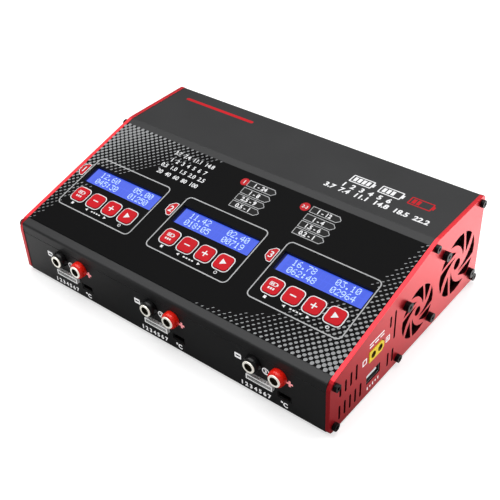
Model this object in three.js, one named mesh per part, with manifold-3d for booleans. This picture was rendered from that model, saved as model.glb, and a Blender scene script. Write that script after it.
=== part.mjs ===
// Bench charger with three channels for balancing and charging battery packs.
// Units are millimetres, +X runs along the case to its right end, +Y to its back, +Z up.
// The case's own frame has its origin in the middle of the underside of the base tray;
// the last group lifts it onto its feet and centres its depth over the origin.

import * as THREE from 'three';
import { mergeVertices } from 'three/addons/utils/BufferGeometryUtils.js';
import Module from 'manifold-3d';

const wasm = await Module();
wasm.setup();

// ---------------------------------------------------------------- driving dimensions

const CASE_WIDTH = 265;            // over both end plates
const CASE_DEPTH = 177;
const CASE_HEIGHT = 70.4;
const FRONT_HEIGHT = 40.8;         // where the sloping face meets the front
const TOP_DEPTH = 60.8;            // level top, from the back to the crease
const WALL = 2;                    // extruded shells
const SEAM_HEIGHT = 34;            // joint between cover and tray, front and back
const SEAT_GAP = 0.1;              // between pieces that rest on each other
const SEAM_GAP = 0.3;              // between the cover's and the tray's edges

const PLATE_THICKNESS = 2.8;
const PLATE_PROUD = 0.4;           // end plate past the shells all round
const PLATE_FRONT_RADIUS = 8;
const PLATE_CORNER_RADIUS = 3.5;
const PLATE_CREASE_RADIUS = 14;

const BOSS_RADIUS = 2.8;           // screw channels of the extrusions
const BOSS_INSET = 4.4;            // channel centre from the shell's outside
const CREASE_BOSS_INSET = 3;       // the same, straight down from the crease
const SCREW_RADIUS = 1.3;
const SCREW_GRIP = 9;              // thread inside the channel
const HEAD_RADIUS = 2.75;
const HEAD_HEIGHT = 2.4;
const HEX_RADIUS = 1.35;
const HEX_DEPTH = 1.3;
const SCREW_CLEARANCE = 0.3;

const CHANNELS = 3;
const CHANNEL_PITCH = 85.8;
const CHANNEL_OFFSET = -0.4;
const LABEL_TOP = 6.2;             // down the slope from the crease
const LABEL_BOTTOM = 113.2;
const LABEL_THICKNESS = 0.35;
const WINDOW_WIDTH = 66.4;
const WINDOW_HEIGHT = 15.4;
const WINDOW_CENTRE = 59.4;
const KEY_SIZE = 11.6;
const KEY_CORNER = 2.9;
const KEY_GAP = 3.8;               // cap to cap
const KEYS_PER_CHANNEL = 4;
const KEY_CENTRE = 78.9;
const KEY_RISE = 0.65;             // cap above the label
const KEY_CLEARANCE = 0.25;
const KEY_TRAVEL = 0.4;
const KEY_LIP = 0.9;               // retaining lip under the cover
const KEY_LIP_THICKNESS = 0.8;
const KEY_STEM = 4;
const KEY_STEM_LENGTH = 3;

const DISPLAY_BEZEL_WIDTH = 71;
const DISPLAY_BEZEL_HEIGHT = 21.6;
const DISPLAY_BEZEL_DEPTH = 5.5;
const DISPLAY_FACE_DEPTH = 0.8;    // glass below the bezel's rim
const DISPLAY_BOARD_WIDTH = 80;
const DISPLAY_BOARD_HEIGHT = 31;
const DISPLAY_HEADER_WIDTH = 40;
const BOARD_THICKNESS = 1.6;
const CONTROL_DEPTH = 13;          // control board below the sloping face's outside
const CONTROL_WIDTH = 232;
const CONTROL_TOP = 44;
const CONTROL_BOTTOM = 95;
const SWITCH_SIZE = 6;
const SWITCH_HEIGHT = 3.5;
const SWITCH_BUTTON_RADIUS = 1.7;
const SWITCH_GAP = 0.6;            // stem to switch at rest, more than the travel
const POST_RADIUS = 2.2;

const SOCKET_PITCH = 84.5;         // front sockets, channel to channel
const SOCKET_OFFSET = 2.6;
const JACK_SPACING = 19;
const JACK_HEIGHT = 27.4;
const JACK_RADIUS = 5.8;
const JACK_PROUD = 5;
const JACK_NOSE_RADIUS = 4.5;       // rounded front end of the sleeve
const JACK_NOSE_LENGTH = 2;
const JACK_SHANK_RADIUS = 5;
const JACK_SHANK_LENGTH = 9;
const JACK_HOLE_CLEARANCE = 0.3;
const CONTACT_RADIUS = 3.5;        // brass tube inside the sleeve
const CONTACT_RIM_RADIUS = 4.3;
const CONTACT_RIM = 0.6;
const CONTACT_BORE = 2.1;
const CONTACT_MOUTH = 3;           // wider start of the bore
const CONTACT_MOUTH_DEPTH = 2.4;
const CONTACT_TAIL = 5;
const BALANCE_WIDTH = 19.9;
const BALANCE_HEIGHT = 4;
const BALANCE_BOTTOM = 12.9;
const BALANCE_SHIFT = -4.6;        // from the middle of the jack pair
const BALANCE_PROUD = 2.3;
const BALANCE_LENGTH = 11;
const BALANCE_WALL = 0.7;
const BALANCE_SLOT = 1.3;          // comb of slots in the header's top wall
const BALANCE_PINS = 7;
const BALANCE_PIN_PITCH = 2.5;
const BALANCE_PIN = 0.64;
const PROBE_WIDTH = 10;
const PROBE_HEIGHT = 4.8;
const PROBE_SHIFT = 12.9;
const PROBE_LENGTH = 9;
const PROBE_RECESS = 0.4;          // face behind the front panel's outside
const PROBE_WALL = 0.8;
const CUTOUT_CLEARANCE = 0.3;
const CHARGE_BOARD_TOP = 9.3;
const CHARGE_BOARD_MARGIN = 12.5;  // board edge to the outside of an end plate
const CHARGE_BOARD_DEPTH = 54;

const INLET_Y = -40.4;             // direct current inlet on the right end plate
const INLET_Z = 30.9;
const INLET_WIDTH = 16;
const INLET_HEIGHT = 8.4;
const INLET_CHAMFER = 2.3;
const INLET_PROUD = 0.4;
const INLET_LENGTH = 16;
const INLET_BORE = 2.5;
const INLET_BORE_SPACING = 7.4;
const INLET_BORE_DEPTH = 10;
const USB_Y = -42.6;
const USB_Z = 13.2;
const USB_WIDTH = 14.6;
const USB_HEIGHT = 7.2;
const USB_LENGTH = 14;
const USB_SHELL = 0.5;
const USB_TONGUE = 1.7;
const USB_TONGUE_RECESS = 3.2;     // its edge behind the shell's mouth
const USB_RECESS = 0.6;

const MAINS_Y = 48;                // mains inlet on the left end plate
const MAINS_Z = 34;
const MAINS_WIDTH = 27.2;
const MAINS_HEIGHT = 19.8;
const MAINS_FLANGE = 2.4;
const MAINS_FLANGE_THICKNESS = 1.8;
const MAINS_LENGTH = 19;
const MAINS_WALL = 1.6;
const MAINS_CHAMFER = 4.5;
const MAINS_PIN_SPACING = 7;
const MAINS_PIN_HEIGHT = 4;
const MAINS_PIN_THICKNESS = 2;
const MAINS_PIN_RECESS = 2.5;

const SMALL_FAN = { y: 7.9, z: 27.1, size: 40, depth: 10, grille: 18.9, hub: 9.5, holes: 32, centre: 3.4 };
const LARGE_FAN = { y: 57.9, z: 32.3, size: 50, depth: 15, grille: 23.4, hub: 12, holes: 40, centre: 4.2 };
const FAN_WALL = 1;                // thinnest part of the frame round its duct
const FAN_TIP_GAP = 0.6;
const FAN_BLADES = 7;
const FAN_BLADE_THICKNESS = 1.1;
const FAN_BLADE_TILT = 38;         // degrees from the plane of rotation
const FAN_FLOOR = 1.6;             // motor plate and its struts
const FAN_SHAFT = 1.2;
const FAN_SHAFT_CLEARANCE = 0.15;
const FAN_SCREW_RADIUS = 1.5;
const FAN_HEAD_RADIUS = 3.3;
const FAN_HEAD_HEIGHT = 3.3;

const SLOT_WIDTH = 1.9;
const SLOT_PITCH = 5.55;
const FOOT_RADIUS = 6;
const FOOT_HEIGHT = 1.8;
const FOOT_INSET_X = 22;
const FOOT_INSET_Y = 20;
const POWER_BOARD_LEFT_MARGIN = 13.5;   // board edge to the outside of an end plate
const POWER_BOARD_RIGHT_MARGIN = 37.5;  // room for the fans
const POWER_BOARD_DEPTH = 96;
const POWER_BOARD_TOP = 10;
const ROUND = 16;                  // sides of a small cylinder
const JOIN = 0.2;                  // depth by which the solids of one piece run into each other

// ---------------------------------------------------------------- values worked out from them

const HALF_DEPTH = CASE_DEPTH / 2;
const KEY_PITCH = KEY_SIZE + KEY_GAP;
const CHARGE_BOARD_WIDTH = CASE_WIDTH - 2 * CHARGE_BOARD_MARGIN;
const POWER_BOARD_WIDTH = CASE_WIDTH - POWER_BOARD_LEFT_MARGIN - POWER_BOARD_RIGHT_MARGIN;
const POWER_BOARD_X = (POWER_BOARD_LEFT_MARGIN - POWER_BOARD_RIGHT_MARGIN) / 2;
const CREASE_Y = HALF_DEPTH - TOP_DEPTH;
const SLOPE_RUN = CASE_DEPTH - TOP_DEPTH;
const SLOPE = Math.atan2(CASE_HEIGHT - FRONT_HEIGHT, SLOPE_RUN);
const PLATE_INNER_X = CASE_WIDTH / 2 - PLATE_THICKNESS;
const SHELL_END_X = PLATE_INNER_X - SEAT_GAP;
const INSIDE_FRONT_Y = -HALF_DEPTH + WALL;
const KEY_TOP = SEAT_GAP + LABEL_THICKNESS + KEY_RISE;
const LIP_TOP = -WALL - SEAT_GAP;
const STEM_END = LIP_TOP - KEY_LIP_THICKNESS - KEY_STEM_LENGTH;
const BEZEL_TOP = -WALL - SEAT_GAP;
const BEZEL_BOTTOM = BEZEL_TOP - DISPLAY_BEZEL_DEPTH;

const slopeMatrix = new THREE.Matrix4()
  .makeTranslation(0, CREASE_Y, CASE_HEIGHT)
  .multiply(new THREE.Matrix4().makeRotationX(SLOPE));

// Outside height of the case above the tray's underside at a given depth.
function coverHeight(y) {
  return Math.min(CASE_HEIGHT, CASE_HEIGHT - (CREASE_Y - y) * Math.tan(SLOPE));
}

const SCREW_PLACES = [
  { y: -HALF_DEPTH + BOSS_INSET, z: coverHeight(-HALF_DEPTH + BOSS_INSET) - BOSS_INSET - 0.4, part: 'cover' },
  { y: CREASE_Y - 3.3, z: coverHeight(CREASE_Y - 3.3) - CREASE_BOSS_INSET, part: 'cover' },
  { y: HALF_DEPTH - BOSS_INSET, z: CASE_HEIGHT - BOSS_INSET, part: 'cover' },
  { y: -HALF_DEPTH + BOSS_INSET, z: BOSS_INSET, part: 'tray' },
  { y: -14.6, z: BOSS_INSET, part: 'tray' },
  { y: HALF_DEPTH - BOSS_INSET, z: BOSS_INSET, part: 'tray' },
];

const channelX = (channel) => CHANNEL_OFFSET + (channel - (CHANNELS - 1) / 2) * CHANNEL_PITCH;
const socketX = (channel) => SOCKET_OFFSET + (channel - (CHANNELS - 1) / 2) * SOCKET_PITCH;
const keyX = (channel, key) => channelX(channel) + (key - (KEYS_PER_CHANNEL - 1) / 2) * KEY_PITCH;

// ---------------------------------------------------------------- materials

const finish = (color, roughness, metalness) => new THREE.MeshStandardMaterial({ color, roughness, metalness });
const FINISH = {
  shell: finish(0x3a3b3d, 0.5, 0.3),
  plate: finish(0xc8202c, 0.35, 0.6),
  label: finish(0x161616, 0.5, 0),
  key: finish(0xd3202a, 0.45, 0),
  display: finish(0x3f5ff0, 0.2, 0),
  board: finish(0x1d5a35, 0.6, 0),
  blackPlastic: finish(0x121214, 0.45, 0),
  redPlastic: finish(0xe8220f, 0.4, 0),
  whitePlastic: finish(0xc4c6c4, 0.5, 0),
  yellowPlastic: finish(0xe6c82e, 0.45, 0),
  steel: finish(0xb4b8bc, 0.35, 1),
  blackSteel: finish(0x17181a, 0.35, 0.8),
  rubber: finish(0x1a1a1a, 0.9, 0),
  core: finish(0x6a5a30, 0.6, 0.1),
};

// ---------------------------------------------------------------- solids

function solidOf(geometry) {
  const bare = geometry.clone();
  bare.deleteAttribute('normal');
  bare.deleteAttribute('uv');
  const merged = mergeVertices(bare, 1e-4);
  return new wasm.Manifold(new wasm.Mesh({
    numProp: 3,
    vertProperties: new Float32Array(merged.attributes.position.array),
    triVerts: new Uint32Array(merged.index.array),
  }));
}

function geometryOf(solid) {
  const mesh = solid.getMesh();
  const geometry = new THREE.BufferGeometry();
  geometry.setAttribute('position', new THREE.BufferAttribute(mesh.vertProperties.slice(), 3));
  geometry.setIndex(new THREE.BufferAttribute(mesh.triVerts.slice(), 1));
  geometry.computeVertexNormals();
  return geometry;
}

// Joins the first list of geometries and cuts the second list from them.
function shaped(added, removed = []) {
  let solid = solidOf(added[0]);
  for (const piece of added.slice(1)) solid = solid.add(solidOf(piece));
  for (const piece of removed) solid = solid.subtract(solidOf(piece));
  return geometryOf(solid);
}

function block(x0, x1, y0, y1, z0, z1) {
  const box = new THREE.BoxGeometry(x1 - x0, y1 - y0, z1 - z0);
  return box.translate((x0 + x1) / 2, (y0 + y1) / 2, (z0 + z1) / 2);
}

function rodX(radius, x0, x1, y, z, sides = ROUND) {
  const rod = new THREE.CylinderGeometry(radius, radius, x1 - x0, sides);
  return rod.rotateZ(-Math.PI / 2).translate((x0 + x1) / 2, y, z);
}

function rodY(radius, y0, y1, x, z, sides = ROUND) {
  const rod = new THREE.CylinderGeometry(radius, radius, y1 - y0, sides);
  return rod.translate(x, (y0 + y1) / 2, z);
}

function rodZ(radius, z0, z1, x, y, sides = ROUND) {
  const rod = new THREE.CylinderGeometry(radius, radius, z1 - z0, sides);
  return rod.rotateX(Math.PI / 2).translate(x, y, (z0 + z1) / 2);
}

// Extrudes a shape drawn in (y, z) along X.
function prismX(shape, x0, x1, curveSegments = 6) {
  const solid = new THREE.ExtrudeGeometry(shape, { depth: x1 - x0, bevelEnabled: false, curveSegments });
  const toX = new THREE.Matrix4().makeBasis(
    new THREE.Vector3(0, 1, 0), new THREE.Vector3(0, 0, 1), new THREE.Vector3(1, 0, 0));
  return solid.applyMatrix4(toX).translate(x0, 0, 0);
}

// Extrudes a shape drawn in (x, -down the slope) along the sloping face's outward normal.
function prismSlope(shape, h0, h1, curveSegments = 3) {
  const solid = new THREE.ExtrudeGeometry(shape, { depth: h1 - h0, bevelEnabled: false, curveSegments });
  return solid.translate(0, 0, h0);
}

function onSlope(geometry) {
  return geometry.clone().applyMatrix4(slopeMatrix);
}

// A closed outline whose corners are rounded by arcs; each corner is [u, v, radius].
function roundedOutline(corners, path = new THREE.Shape(), steps = 5) {
  const points = [];
  corners.forEach(([u, v, radius = 0], index) => {
    const corner = new THREE.Vector2(u, v);
    if (radius <= 0) {
      points.push(corner);
      return;
    }
    const [pu, pv] = corners[(index + corners.length - 1) % corners.length];
    const [nu, nv] = corners[(index + 1) % corners.length];
    const back = new THREE.Vector2(pu - u, pv - v).normalize();
    const ahead = new THREE.Vector2(nu - u, nv - v).normalize();
    const half = Math.acos(THREE.MathUtils.clamp(back.dot(ahead), -1, 1)) / 2;
    const reach = radius / Math.tan(half);
    const middle = back.clone().add(ahead).normalize().multiplyScalar(radius / Math.sin(half)).add(corner);
    const start = back.multiplyScalar(reach).add(corner).sub(middle);
    const end = ahead.multiplyScalar(reach).add(corner).sub(middle);
    const turn = Math.atan2(start.x * end.y - start.y * end.x, start.dot(end));
    for (let step = 0; step <= steps; step++) {
      points.push(start.clone().rotateAround(new THREE.Vector2(), (turn * step) / steps).add(middle));
    }
  });
  path.setFromPoints(points);
  path.closePath();
  return path;
}

function roundedRectangle(centreU, centreV, width, height, radius, path = new THREE.Shape(), steps = 3) {
  const u0 = centreU - width / 2;
  const v0 = centreV - height / 2;
  return roundedOutline([
    [u0, v0, radius], [u0 + width, v0, radius], [u0 + width, v0 + height, radius], [u0, v0 + height, radius],
  ], path, steps);
}

function circlePath(u, v, radius, sides = ROUND) {
  const points = [];
  for (let side = 0; side < sides; side++) {
    const angle = (2 * Math.PI * side) / sides;
    points.push(new THREE.Vector2(u + radius * Math.cos(angle), v + radius * Math.sin(angle)));
  }
  return new THREE.Path(points).closePath();
}

// Moves an open line of points sideways by a distance, to its right.
function offsetLine(points, distance) {
  const shifted = [];
  for (let index = 0; index < points.length - 1; index++) {
    const along = points[index + 1].clone().sub(points[index]).normalize();
    const aside = new THREE.Vector2(along.y, -along.x).multiplyScalar(distance);
    shifted.push([points[index].clone().add(aside), points[index + 1].clone().add(aside)]);
  }
  const result = [shifted[0][0]];
  for (let index = 0; index < shifted.length - 1; index++) {
    const [a, b] = shifted[index];
    const [c, d] = shifted[index + 1];
    const r = b.clone().sub(a);
    const s = d.clone().sub(c);
    const t = ((c.x - a.x) * s.y - (c.y - a.y) * s.x) / (r.x * s.y - r.y * s.x);
    result.push(a.clone().addScaledVector(r, t));
  }
  result.push(shifted[shifted.length - 1][1]);
  return result;
}

// The section of a bent wall: an outer line, rounded at its corners, and the same line inside it.
function wallSection(line, thickness, radii) {
  const inner = offsetLine(line, thickness);
  const outside = line.map((point, index) => [point.x, point.y, radii[index]]);
  const inside = inner.map((point, index) => [point.x, point.y, Math.max(radii[index] - thickness, 0)]);
  return roundedOutline([...outside, ...inside.reverse()], new THREE.Shape(), 4);
}

// ---------------------------------------------------------------- shells

function screwChannels(part) {
  const places = SCREW_PLACES.filter((place) => place.part === part);
  return {
    rods: places.map((place) => rodX(BOSS_RADIUS, -SHELL_END_X, SHELL_END_X, place.y, place.z)),
    holes: places.map((place) => rodX(SCREW_RADIUS + SCREW_CLEARANCE, -CASE_WIDTH, CASE_WIDTH, place.y, place.z)),
  };
}

function postPlaces() {
  const between = [];
  for (let channel = 0; channel < CHANNELS - 1; channel++) {
    const x = (channelX(channel) + channelX(channel + 1)) / 2;
    between.push([x, CONTROL_TOP + POST_RADIUS + 1], [x, CONTROL_BOTTOM - POST_RADIUS - 1]);
  }
  return between;
}

function keyOutline(x, grow, path = new THREE.Shape()) {
  const size = KEY_SIZE + 2 * grow;
  return roundedRectangle(x, -KEY_CENTRE, size, size, KEY_CORNER + grow, path, 3);
}

function topCover() {
  const bottom = SEAM_HEIGHT + SEAM_GAP / 2;
  const line = [
    [-HALF_DEPTH, bottom], [-HALF_DEPTH, FRONT_HEIGHT], [CREASE_Y, CASE_HEIGHT],
    [HALF_DEPTH, CASE_HEIGHT], [HALF_DEPTH, bottom],
  ].map(([y, z]) => new THREE.Vector2(y, z));
  const section = wallSection(line, WALL, [0, 1.8, 5, 2.6, 0]);
  const channels = screwChannels('cover');
  const posts = postPlaces().map(([x, down]) =>
    onSlope(rodZ(POST_RADIUS, -CONTROL_DEPTH + SEAT_GAP, -WALL / 2, x, -down, 12)));
  const cuts = [...channels.holes];
  for (let channel = 0; channel < CHANNELS; channel++) {
    const window = roundedRectangle(channelX(channel), -WINDOW_CENTRE, WINDOW_WIDTH, WINDOW_HEIGHT, 0.6);
    cuts.push(onSlope(prismSlope(window, -2 * WALL, WALL)));
    for (let key = 0; key < KEYS_PER_CHANNEL; key++) {
      cuts.push(onSlope(prismSlope(keyOutline(keyX(channel, key), KEY_CLEARANCE), -2 * WALL, WALL)));
    }
  }
  return shaped([prismX(section, -SHELL_END_X, SHELL_END_X), ...channels.rods, ...posts], cuts);
}

function boardPosts(x0, x1, y0, y1, top) {
  const posts = [];
  for (const x of [x0, x1]) for (const y of [y0, y1]) posts.push(rodZ(POST_RADIUS, WALL / 2, top, x, y, 12));
  return posts;
}

const CHARGE_BOARD_FRONT = INSIDE_FRONT_Y + 1.2;
const POWER_BOARD_BACK = HALF_DEPTH - WALL - 12;
const POWER_BOARD_FRONT = POWER_BOARD_BACK - POWER_BOARD_DEPTH;

function baseTray() {
  const top = SEAM_HEIGHT - SEAM_GAP / 2;
  const line = [
    [HALF_DEPTH, top], [HALF_DEPTH, 0], [-HALF_DEPTH, 0], [-HALF_DEPTH, top],
  ].map(([y, z]) => new THREE.Vector2(y, z));
  const section = wallSection(line, WALL, [0, 1.6, 1.6, 0]);
  const channels = screwChannels('tray');
  const chargePosts = boardPosts(
    -CHARGE_BOARD_WIDTH / 2 + 6, CHARGE_BOARD_WIDTH / 2 - 6,
    CHARGE_BOARD_FRONT + 12, CHARGE_BOARD_FRONT + CHARGE_BOARD_DEPTH - 6,
    CHARGE_BOARD_TOP - BOARD_THICKNESS - SEAT_GAP);
  const powerPosts = boardPosts(
    POWER_BOARD_X - POWER_BOARD_WIDTH / 2 + 6, POWER_BOARD_X + POWER_BOARD_WIDTH / 2 - 6,
    POWER_BOARD_FRONT + 6, POWER_BOARD_BACK - 6,
    POWER_BOARD_TOP - BOARD_THICKNESS - SEAT_GAP);
  const cuts = [...channels.holes];
  const through = [-HALF_DEPTH - WALL, -HALF_DEPTH + 2 * WALL];
  for (let channel = 0; channel < CHANNELS; channel++) {
    const x = socketX(channel);
    for (const side of [-1, 1]) {
      cuts.push(rodY(JACK_SHANK_RADIUS + JACK_HOLE_CLEARANCE, ...through, x + (side * JACK_SPACING) / 2, JACK_HEIGHT));
    }
    const balance = x + BALANCE_SHIFT;
    const half = BALANCE_WIDTH / 2 + CUTOUT_CLEARANCE;
    cuts.push(block(balance - half, balance + half, ...through,
      BALANCE_BOTTOM - CUTOUT_CLEARANCE, BALANCE_BOTTOM + BALANCE_HEIGHT + CUTOUT_CLEARANCE));
    const probe = x + PROBE_SHIFT;
    const probeHalf = PROBE_WIDTH / 2 + CUTOUT_CLEARANCE;
    cuts.push(block(probe - probeHalf, probe + probeHalf, ...through,
      CHARGE_BOARD_TOP - JOIN - CUTOUT_CLEARANCE, CHARGE_BOARD_TOP + PROBE_HEIGHT + CUTOUT_CLEARANCE));
  }
  return shaped([prismX(section, -SHELL_END_X, SHELL_END_X), ...channels.rods, ...chargePosts, ...powerPosts], cuts);
}

// ---------------------------------------------------------------- end plates

function plateOutline() {
  const p = PLATE_PROUD;
  const front = -HALF_DEPTH - p;
  const back = HALF_DEPTH + p;
  const rise = p / Math.cos(SLOPE);
  return roundedOutline([
    [front, 0, PLATE_CORNER_RADIUS],
    [back, 0, PLATE_CORNER_RADIUS],
    [back, CASE_HEIGHT + p, PLATE_CORNER_RADIUS],
    [CREASE_Y, CASE_HEIGHT + p, PLATE_CREASE_RADIUS],
    [front, coverHeight(front) + rise, PLATE_FRONT_RADIUS],
  ]);
}

function slotPath(y, bottom, top) {
  const height = top - bottom;
  return roundedRectangle(y, bottom + height / 2, SLOT_WIDTH, height, SLOT_WIDTH * 0.45, new THREE.Path(), 1);
}

// One blade-shaped opening of the fan grille: from its inner tip along two bowed
// sides to the grille's rim. The points are for a grille of radius 1.
function grilleSlot(fan, quarter, tip, lead, first, last, trail) {
  const turn = (quarter * Math.PI) / 2;
  const place = (u, v) => new THREE.Vector2(
    fan.y + fan.grille * (u * Math.cos(turn) - v * Math.sin(turn)),
    fan.z + fan.grille * (u * Math.sin(turn) + v * Math.cos(turn)));
  const rim = (angle) => [Math.cos(angle), Math.sin(angle)];
  const leading = new THREE.QuadraticBezierCurve(place(...tip), place(...lead), place(...rim(first)));
  const trailing = new THREE.QuadraticBezierCurve(place(...rim(last)), place(...trail), place(...tip));
  const points = leading.getPoints(4);
  for (let step = 1; step < 3; step++) points.push(place(...rim(first + ((last - first) * step) / 3)));
  points.push(...trailing.getPoints(5).slice(0, -1));
  return new THREE.Path(points).closePath();
}

function grillePaths(fan) {
  const paths = [circlePath(fan.y, fan.z, fan.centre)];
  const degrees = Math.PI / 180;
  for (let quarter = 0; quarter < 4; quarter++) {
    paths.push(grilleSlot(fan, quarter, [0.33, 0.11], [0.34, 0.6], 78 * degrees, 121 * degrees, [0.13, 0.78]));
    paths.push(grilleSlot(fan, quarter, [0.49, 0.13], [0.68, 0.43], 42 * degrees, 70 * degrees, [0.4, 0.6]));
  }
  return paths;
}

function screwHolePaths() {
  return SCREW_PLACES.map((place) => circlePath(place.y, place.z, SCREW_RADIUS + SCREW_CLEARANCE));
}

function fanScrewPlaces(fan) {
  const half = fan.holes / 2;
  return [[fan.y - half, fan.z + half], [fan.y + half, fan.z - half]];
}

function inletOutline(grow, path = new THREE.Shape()) {
  const w = INLET_WIDTH / 2 + grow;
  const h = INLET_HEIGHT / 2 + grow;
  const corners = [
    [-w, -h], [w - INLET_CHAMFER, -h], [w, -h + INLET_CHAMFER], [w, h - INLET_CHAMFER], [w - INLET_CHAMFER, h], [-w, h],
  ];
  path.setFromPoints(corners.map(([u, v]) => new THREE.Vector2(INLET_Y + u, INLET_Z + v)));
  path.closePath();
  return path;
}

function rightVents() {
  const slots = [];
  const firstLow = -78.8;
  for (let index = 0; index < 5; index++) slots.push([firstLow + index * SLOT_PITCH, 5.1, 16.9]);
  for (let index = 0; index < 4; index++) slots.push([firstLow + 0.4 + index * SLOT_PITCH, 23.6, 32.1 + index * 1.5]);
  slots.push([-26.1, 6, 17.5], [-20.6, 6, 17.5], [-25.3, 37.8, 47], [-20, 25, 48.2]);
  return slots;
}

function leftVents() {
  const slots = [];
  for (let index = 0; index < 13; index++) {
    const y = -78.8 + index * SLOT_PITCH;
    slots.push([y, 5.1, 16.9], [y, 21.5, 32.5]);
    if (index > 3) slots.push([y, 37, 39 + index * 1.2]);
  }
  return slots;
}

function endPlate(side) {
  const outline = plateOutline();
  outline.holes.push(...screwHolePaths());
  if (side > 0) {
    for (const fan of [SMALL_FAN, LARGE_FAN]) {
      outline.holes.push(...grillePaths(fan));
      for (const [y, z] of fanScrewPlaces(fan)) {
        outline.holes.push(circlePath(y, z, FAN_SCREW_RADIUS + SCREW_CLEARANCE));
      }
    }
    outline.holes.push(inletOutline(CUTOUT_CLEARANCE, new THREE.Path()));
    outline.holes.push(roundedRectangle(USB_Y, USB_Z, USB_WIDTH + 2 * CUTOUT_CLEARANCE,
      USB_HEIGHT + 2 * CUTOUT_CLEARANCE, 0.4, new THREE.Path(), 1));
  } else {
    outline.holes.push(mainsOutline(CUTOUT_CLEARANCE, new THREE.Path()));
  }
  const vents = side > 0 ? rightVents() : leftVents();
  outline.holes.push(...vents.map((slot) => slotPath(...slot)));
  const inner = side > 0 ? PLATE_INNER_X : -CASE_WIDTH / 2;
  return prismX(outline, inner, inner + PLATE_THICKNESS);
}

// ---------------------------------------------------------------- sloping face

function faceLabel() {
  const halfWidth = SHELL_END_X - SEAM_GAP;
  const height = LABEL_BOTTOM - LABEL_TOP;
  const sheet = roundedRectangle(0, -LABEL_TOP - height / 2, 2 * halfWidth, height, 0.4);
  for (let channel = 0; channel < CHANNELS; channel++) {
    sheet.holes.push(roundedRectangle(channelX(channel), -WINDOW_CENTRE, WINDOW_WIDTH, WINDOW_HEIGHT, 0.6,
      new THREE.Path()));
    for (let key = 0; key < KEYS_PER_CHANNEL; key++) {
      sheet.holes.push(keyOutline(keyX(channel, key), KEY_CLEARANCE, new THREE.Path()));
    }
  }
  return prismSlope(sheet, SEAT_GAP, SEAT_GAP + LABEL_THICKNESS);
}

function keyCap(channel, key) {
  const x = keyX(channel, key);
  const cap = prismSlope(keyOutline(x, 0), LIP_TOP - JOIN, KEY_TOP);
  const lip = prismSlope(keyOutline(x, KEY_LIP), LIP_TOP - KEY_LIP_THICKNESS, LIP_TOP);
  const half = KEY_STEM / 2;
  const stem = block(x - half, x + half, -KEY_CENTRE - half, -KEY_CENTRE + half, STEM_END, LIP_TOP - JOIN);
  return shaped([cap, lip, stem]);
}

function displayModule(channel) {
  const x = channelX(channel);
  const centre = -WINDOW_CENTRE;
  const w = DISPLAY_BEZEL_WIDTH / 2;
  const h = DISPLAY_BEZEL_HEIGHT / 2;
  const bezel = block(x - w, x + w, centre - h, centre + h, BEZEL_BOTTOM - JOIN, BEZEL_TOP);
  const boardTop = BEZEL_BOTTOM;
  const boardBottom = boardTop - BOARD_THICKNESS;
  const board = block(x - DISPLAY_BOARD_WIDTH / 2, x + DISPLAY_BOARD_WIDTH / 2,
    centre - DISPLAY_BOARD_HEIGHT / 2, centre + DISPLAY_BOARD_HEIGHT / 2, boardBottom, boardTop);
  const headerY = centre + DISPLAY_BOARD_HEIGHT / 2 - 2;
  const header = block(x - DISPLAY_HEADER_WIDTH / 2, x + DISPLAY_HEADER_WIDTH / 2,
    headerY - 1.2, headerY + 1.2, -CONTROL_DEPTH + SEAT_GAP, boardBottom + JOIN);
  const opening = block(x - WINDOW_WIDTH / 2, x + WINDOW_WIDTH / 2,
    centre - WINDOW_HEIGHT / 2, centre + WINDOW_HEIGHT / 2, BEZEL_TOP - DISPLAY_FACE_DEPTH, BEZEL_TOP + 1);
  return shaped([bezel, board, header], [opening]);
}

function controlBoard() {
  const top = -CONTROL_DEPTH;
  const board = block(CHANNEL_OFFSET - CONTROL_WIDTH / 2, CHANNEL_OFFSET + CONTROL_WIDTH / 2,
    -CONTROL_BOTTOM, -CONTROL_TOP, top - BOARD_THICKNESS, top);
  const pieces = [board];
  const half = SWITCH_SIZE / 2;
  for (let channel = 0; channel < CHANNELS; channel++) {
    for (let key = 0; key < KEYS_PER_CHANNEL; key++) {
      const x = keyX(channel, key);
      pieces.push(block(x - half, x + half, -KEY_CENTRE - half, -KEY_CENTRE + half, top - JOIN, top + SWITCH_HEIGHT));
      pieces.push(rodZ(SWITCH_BUTTON_RADIUS, top + SWITCH_HEIGHT - JOIN, STEM_END - SWITCH_GAP, x, -KEY_CENTRE, 8));
    }
  }
  return shaped(pieces);
}

// ---------------------------------------------------------------- front sockets

function jackX(channel, side) {
  return socketX(channel) + (side * JACK_SPACING) / 2;
}

function jackSleeve(channel, side) {
  const x = jackX(channel, side);
  const front = -HALF_DEPTH - JACK_PROUD;
  const seat = -HALF_DEPTH - SEAT_GAP;
  const profile = [[0, front], [JACK_NOSE_RADIUS, front]];
  for (let step = 1; step <= 4; step++) {
    const angle = (step / 4) * (Math.PI / 2);
    profile.push([JACK_NOSE_RADIUS + (JACK_RADIUS - JACK_NOSE_RADIUS) * Math.sin(angle),
      front + JACK_NOSE_LENGTH * (1 - Math.cos(angle))]);
  }
  profile.push([JACK_RADIUS, seat], [0, seat]);
  const barrel = new THREE.LatheGeometry(profile.map(([u, v]) => new THREE.Vector2(u, v)), 28)
    .translate(x, 0, JACK_HEIGHT);
  const shank = rodY(JACK_SHANK_RADIUS, seat - 0.5, seat + WALL + JACK_SHANK_LENGTH, x, JACK_HEIGHT, 20);
  const bore = rodY(CONTACT_RADIUS + SCREW_CLEARANCE, front - 1, HALF_DEPTH, x, JACK_HEIGHT, 20);
  return shaped([barrel, shank], [bore]);
}

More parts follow.
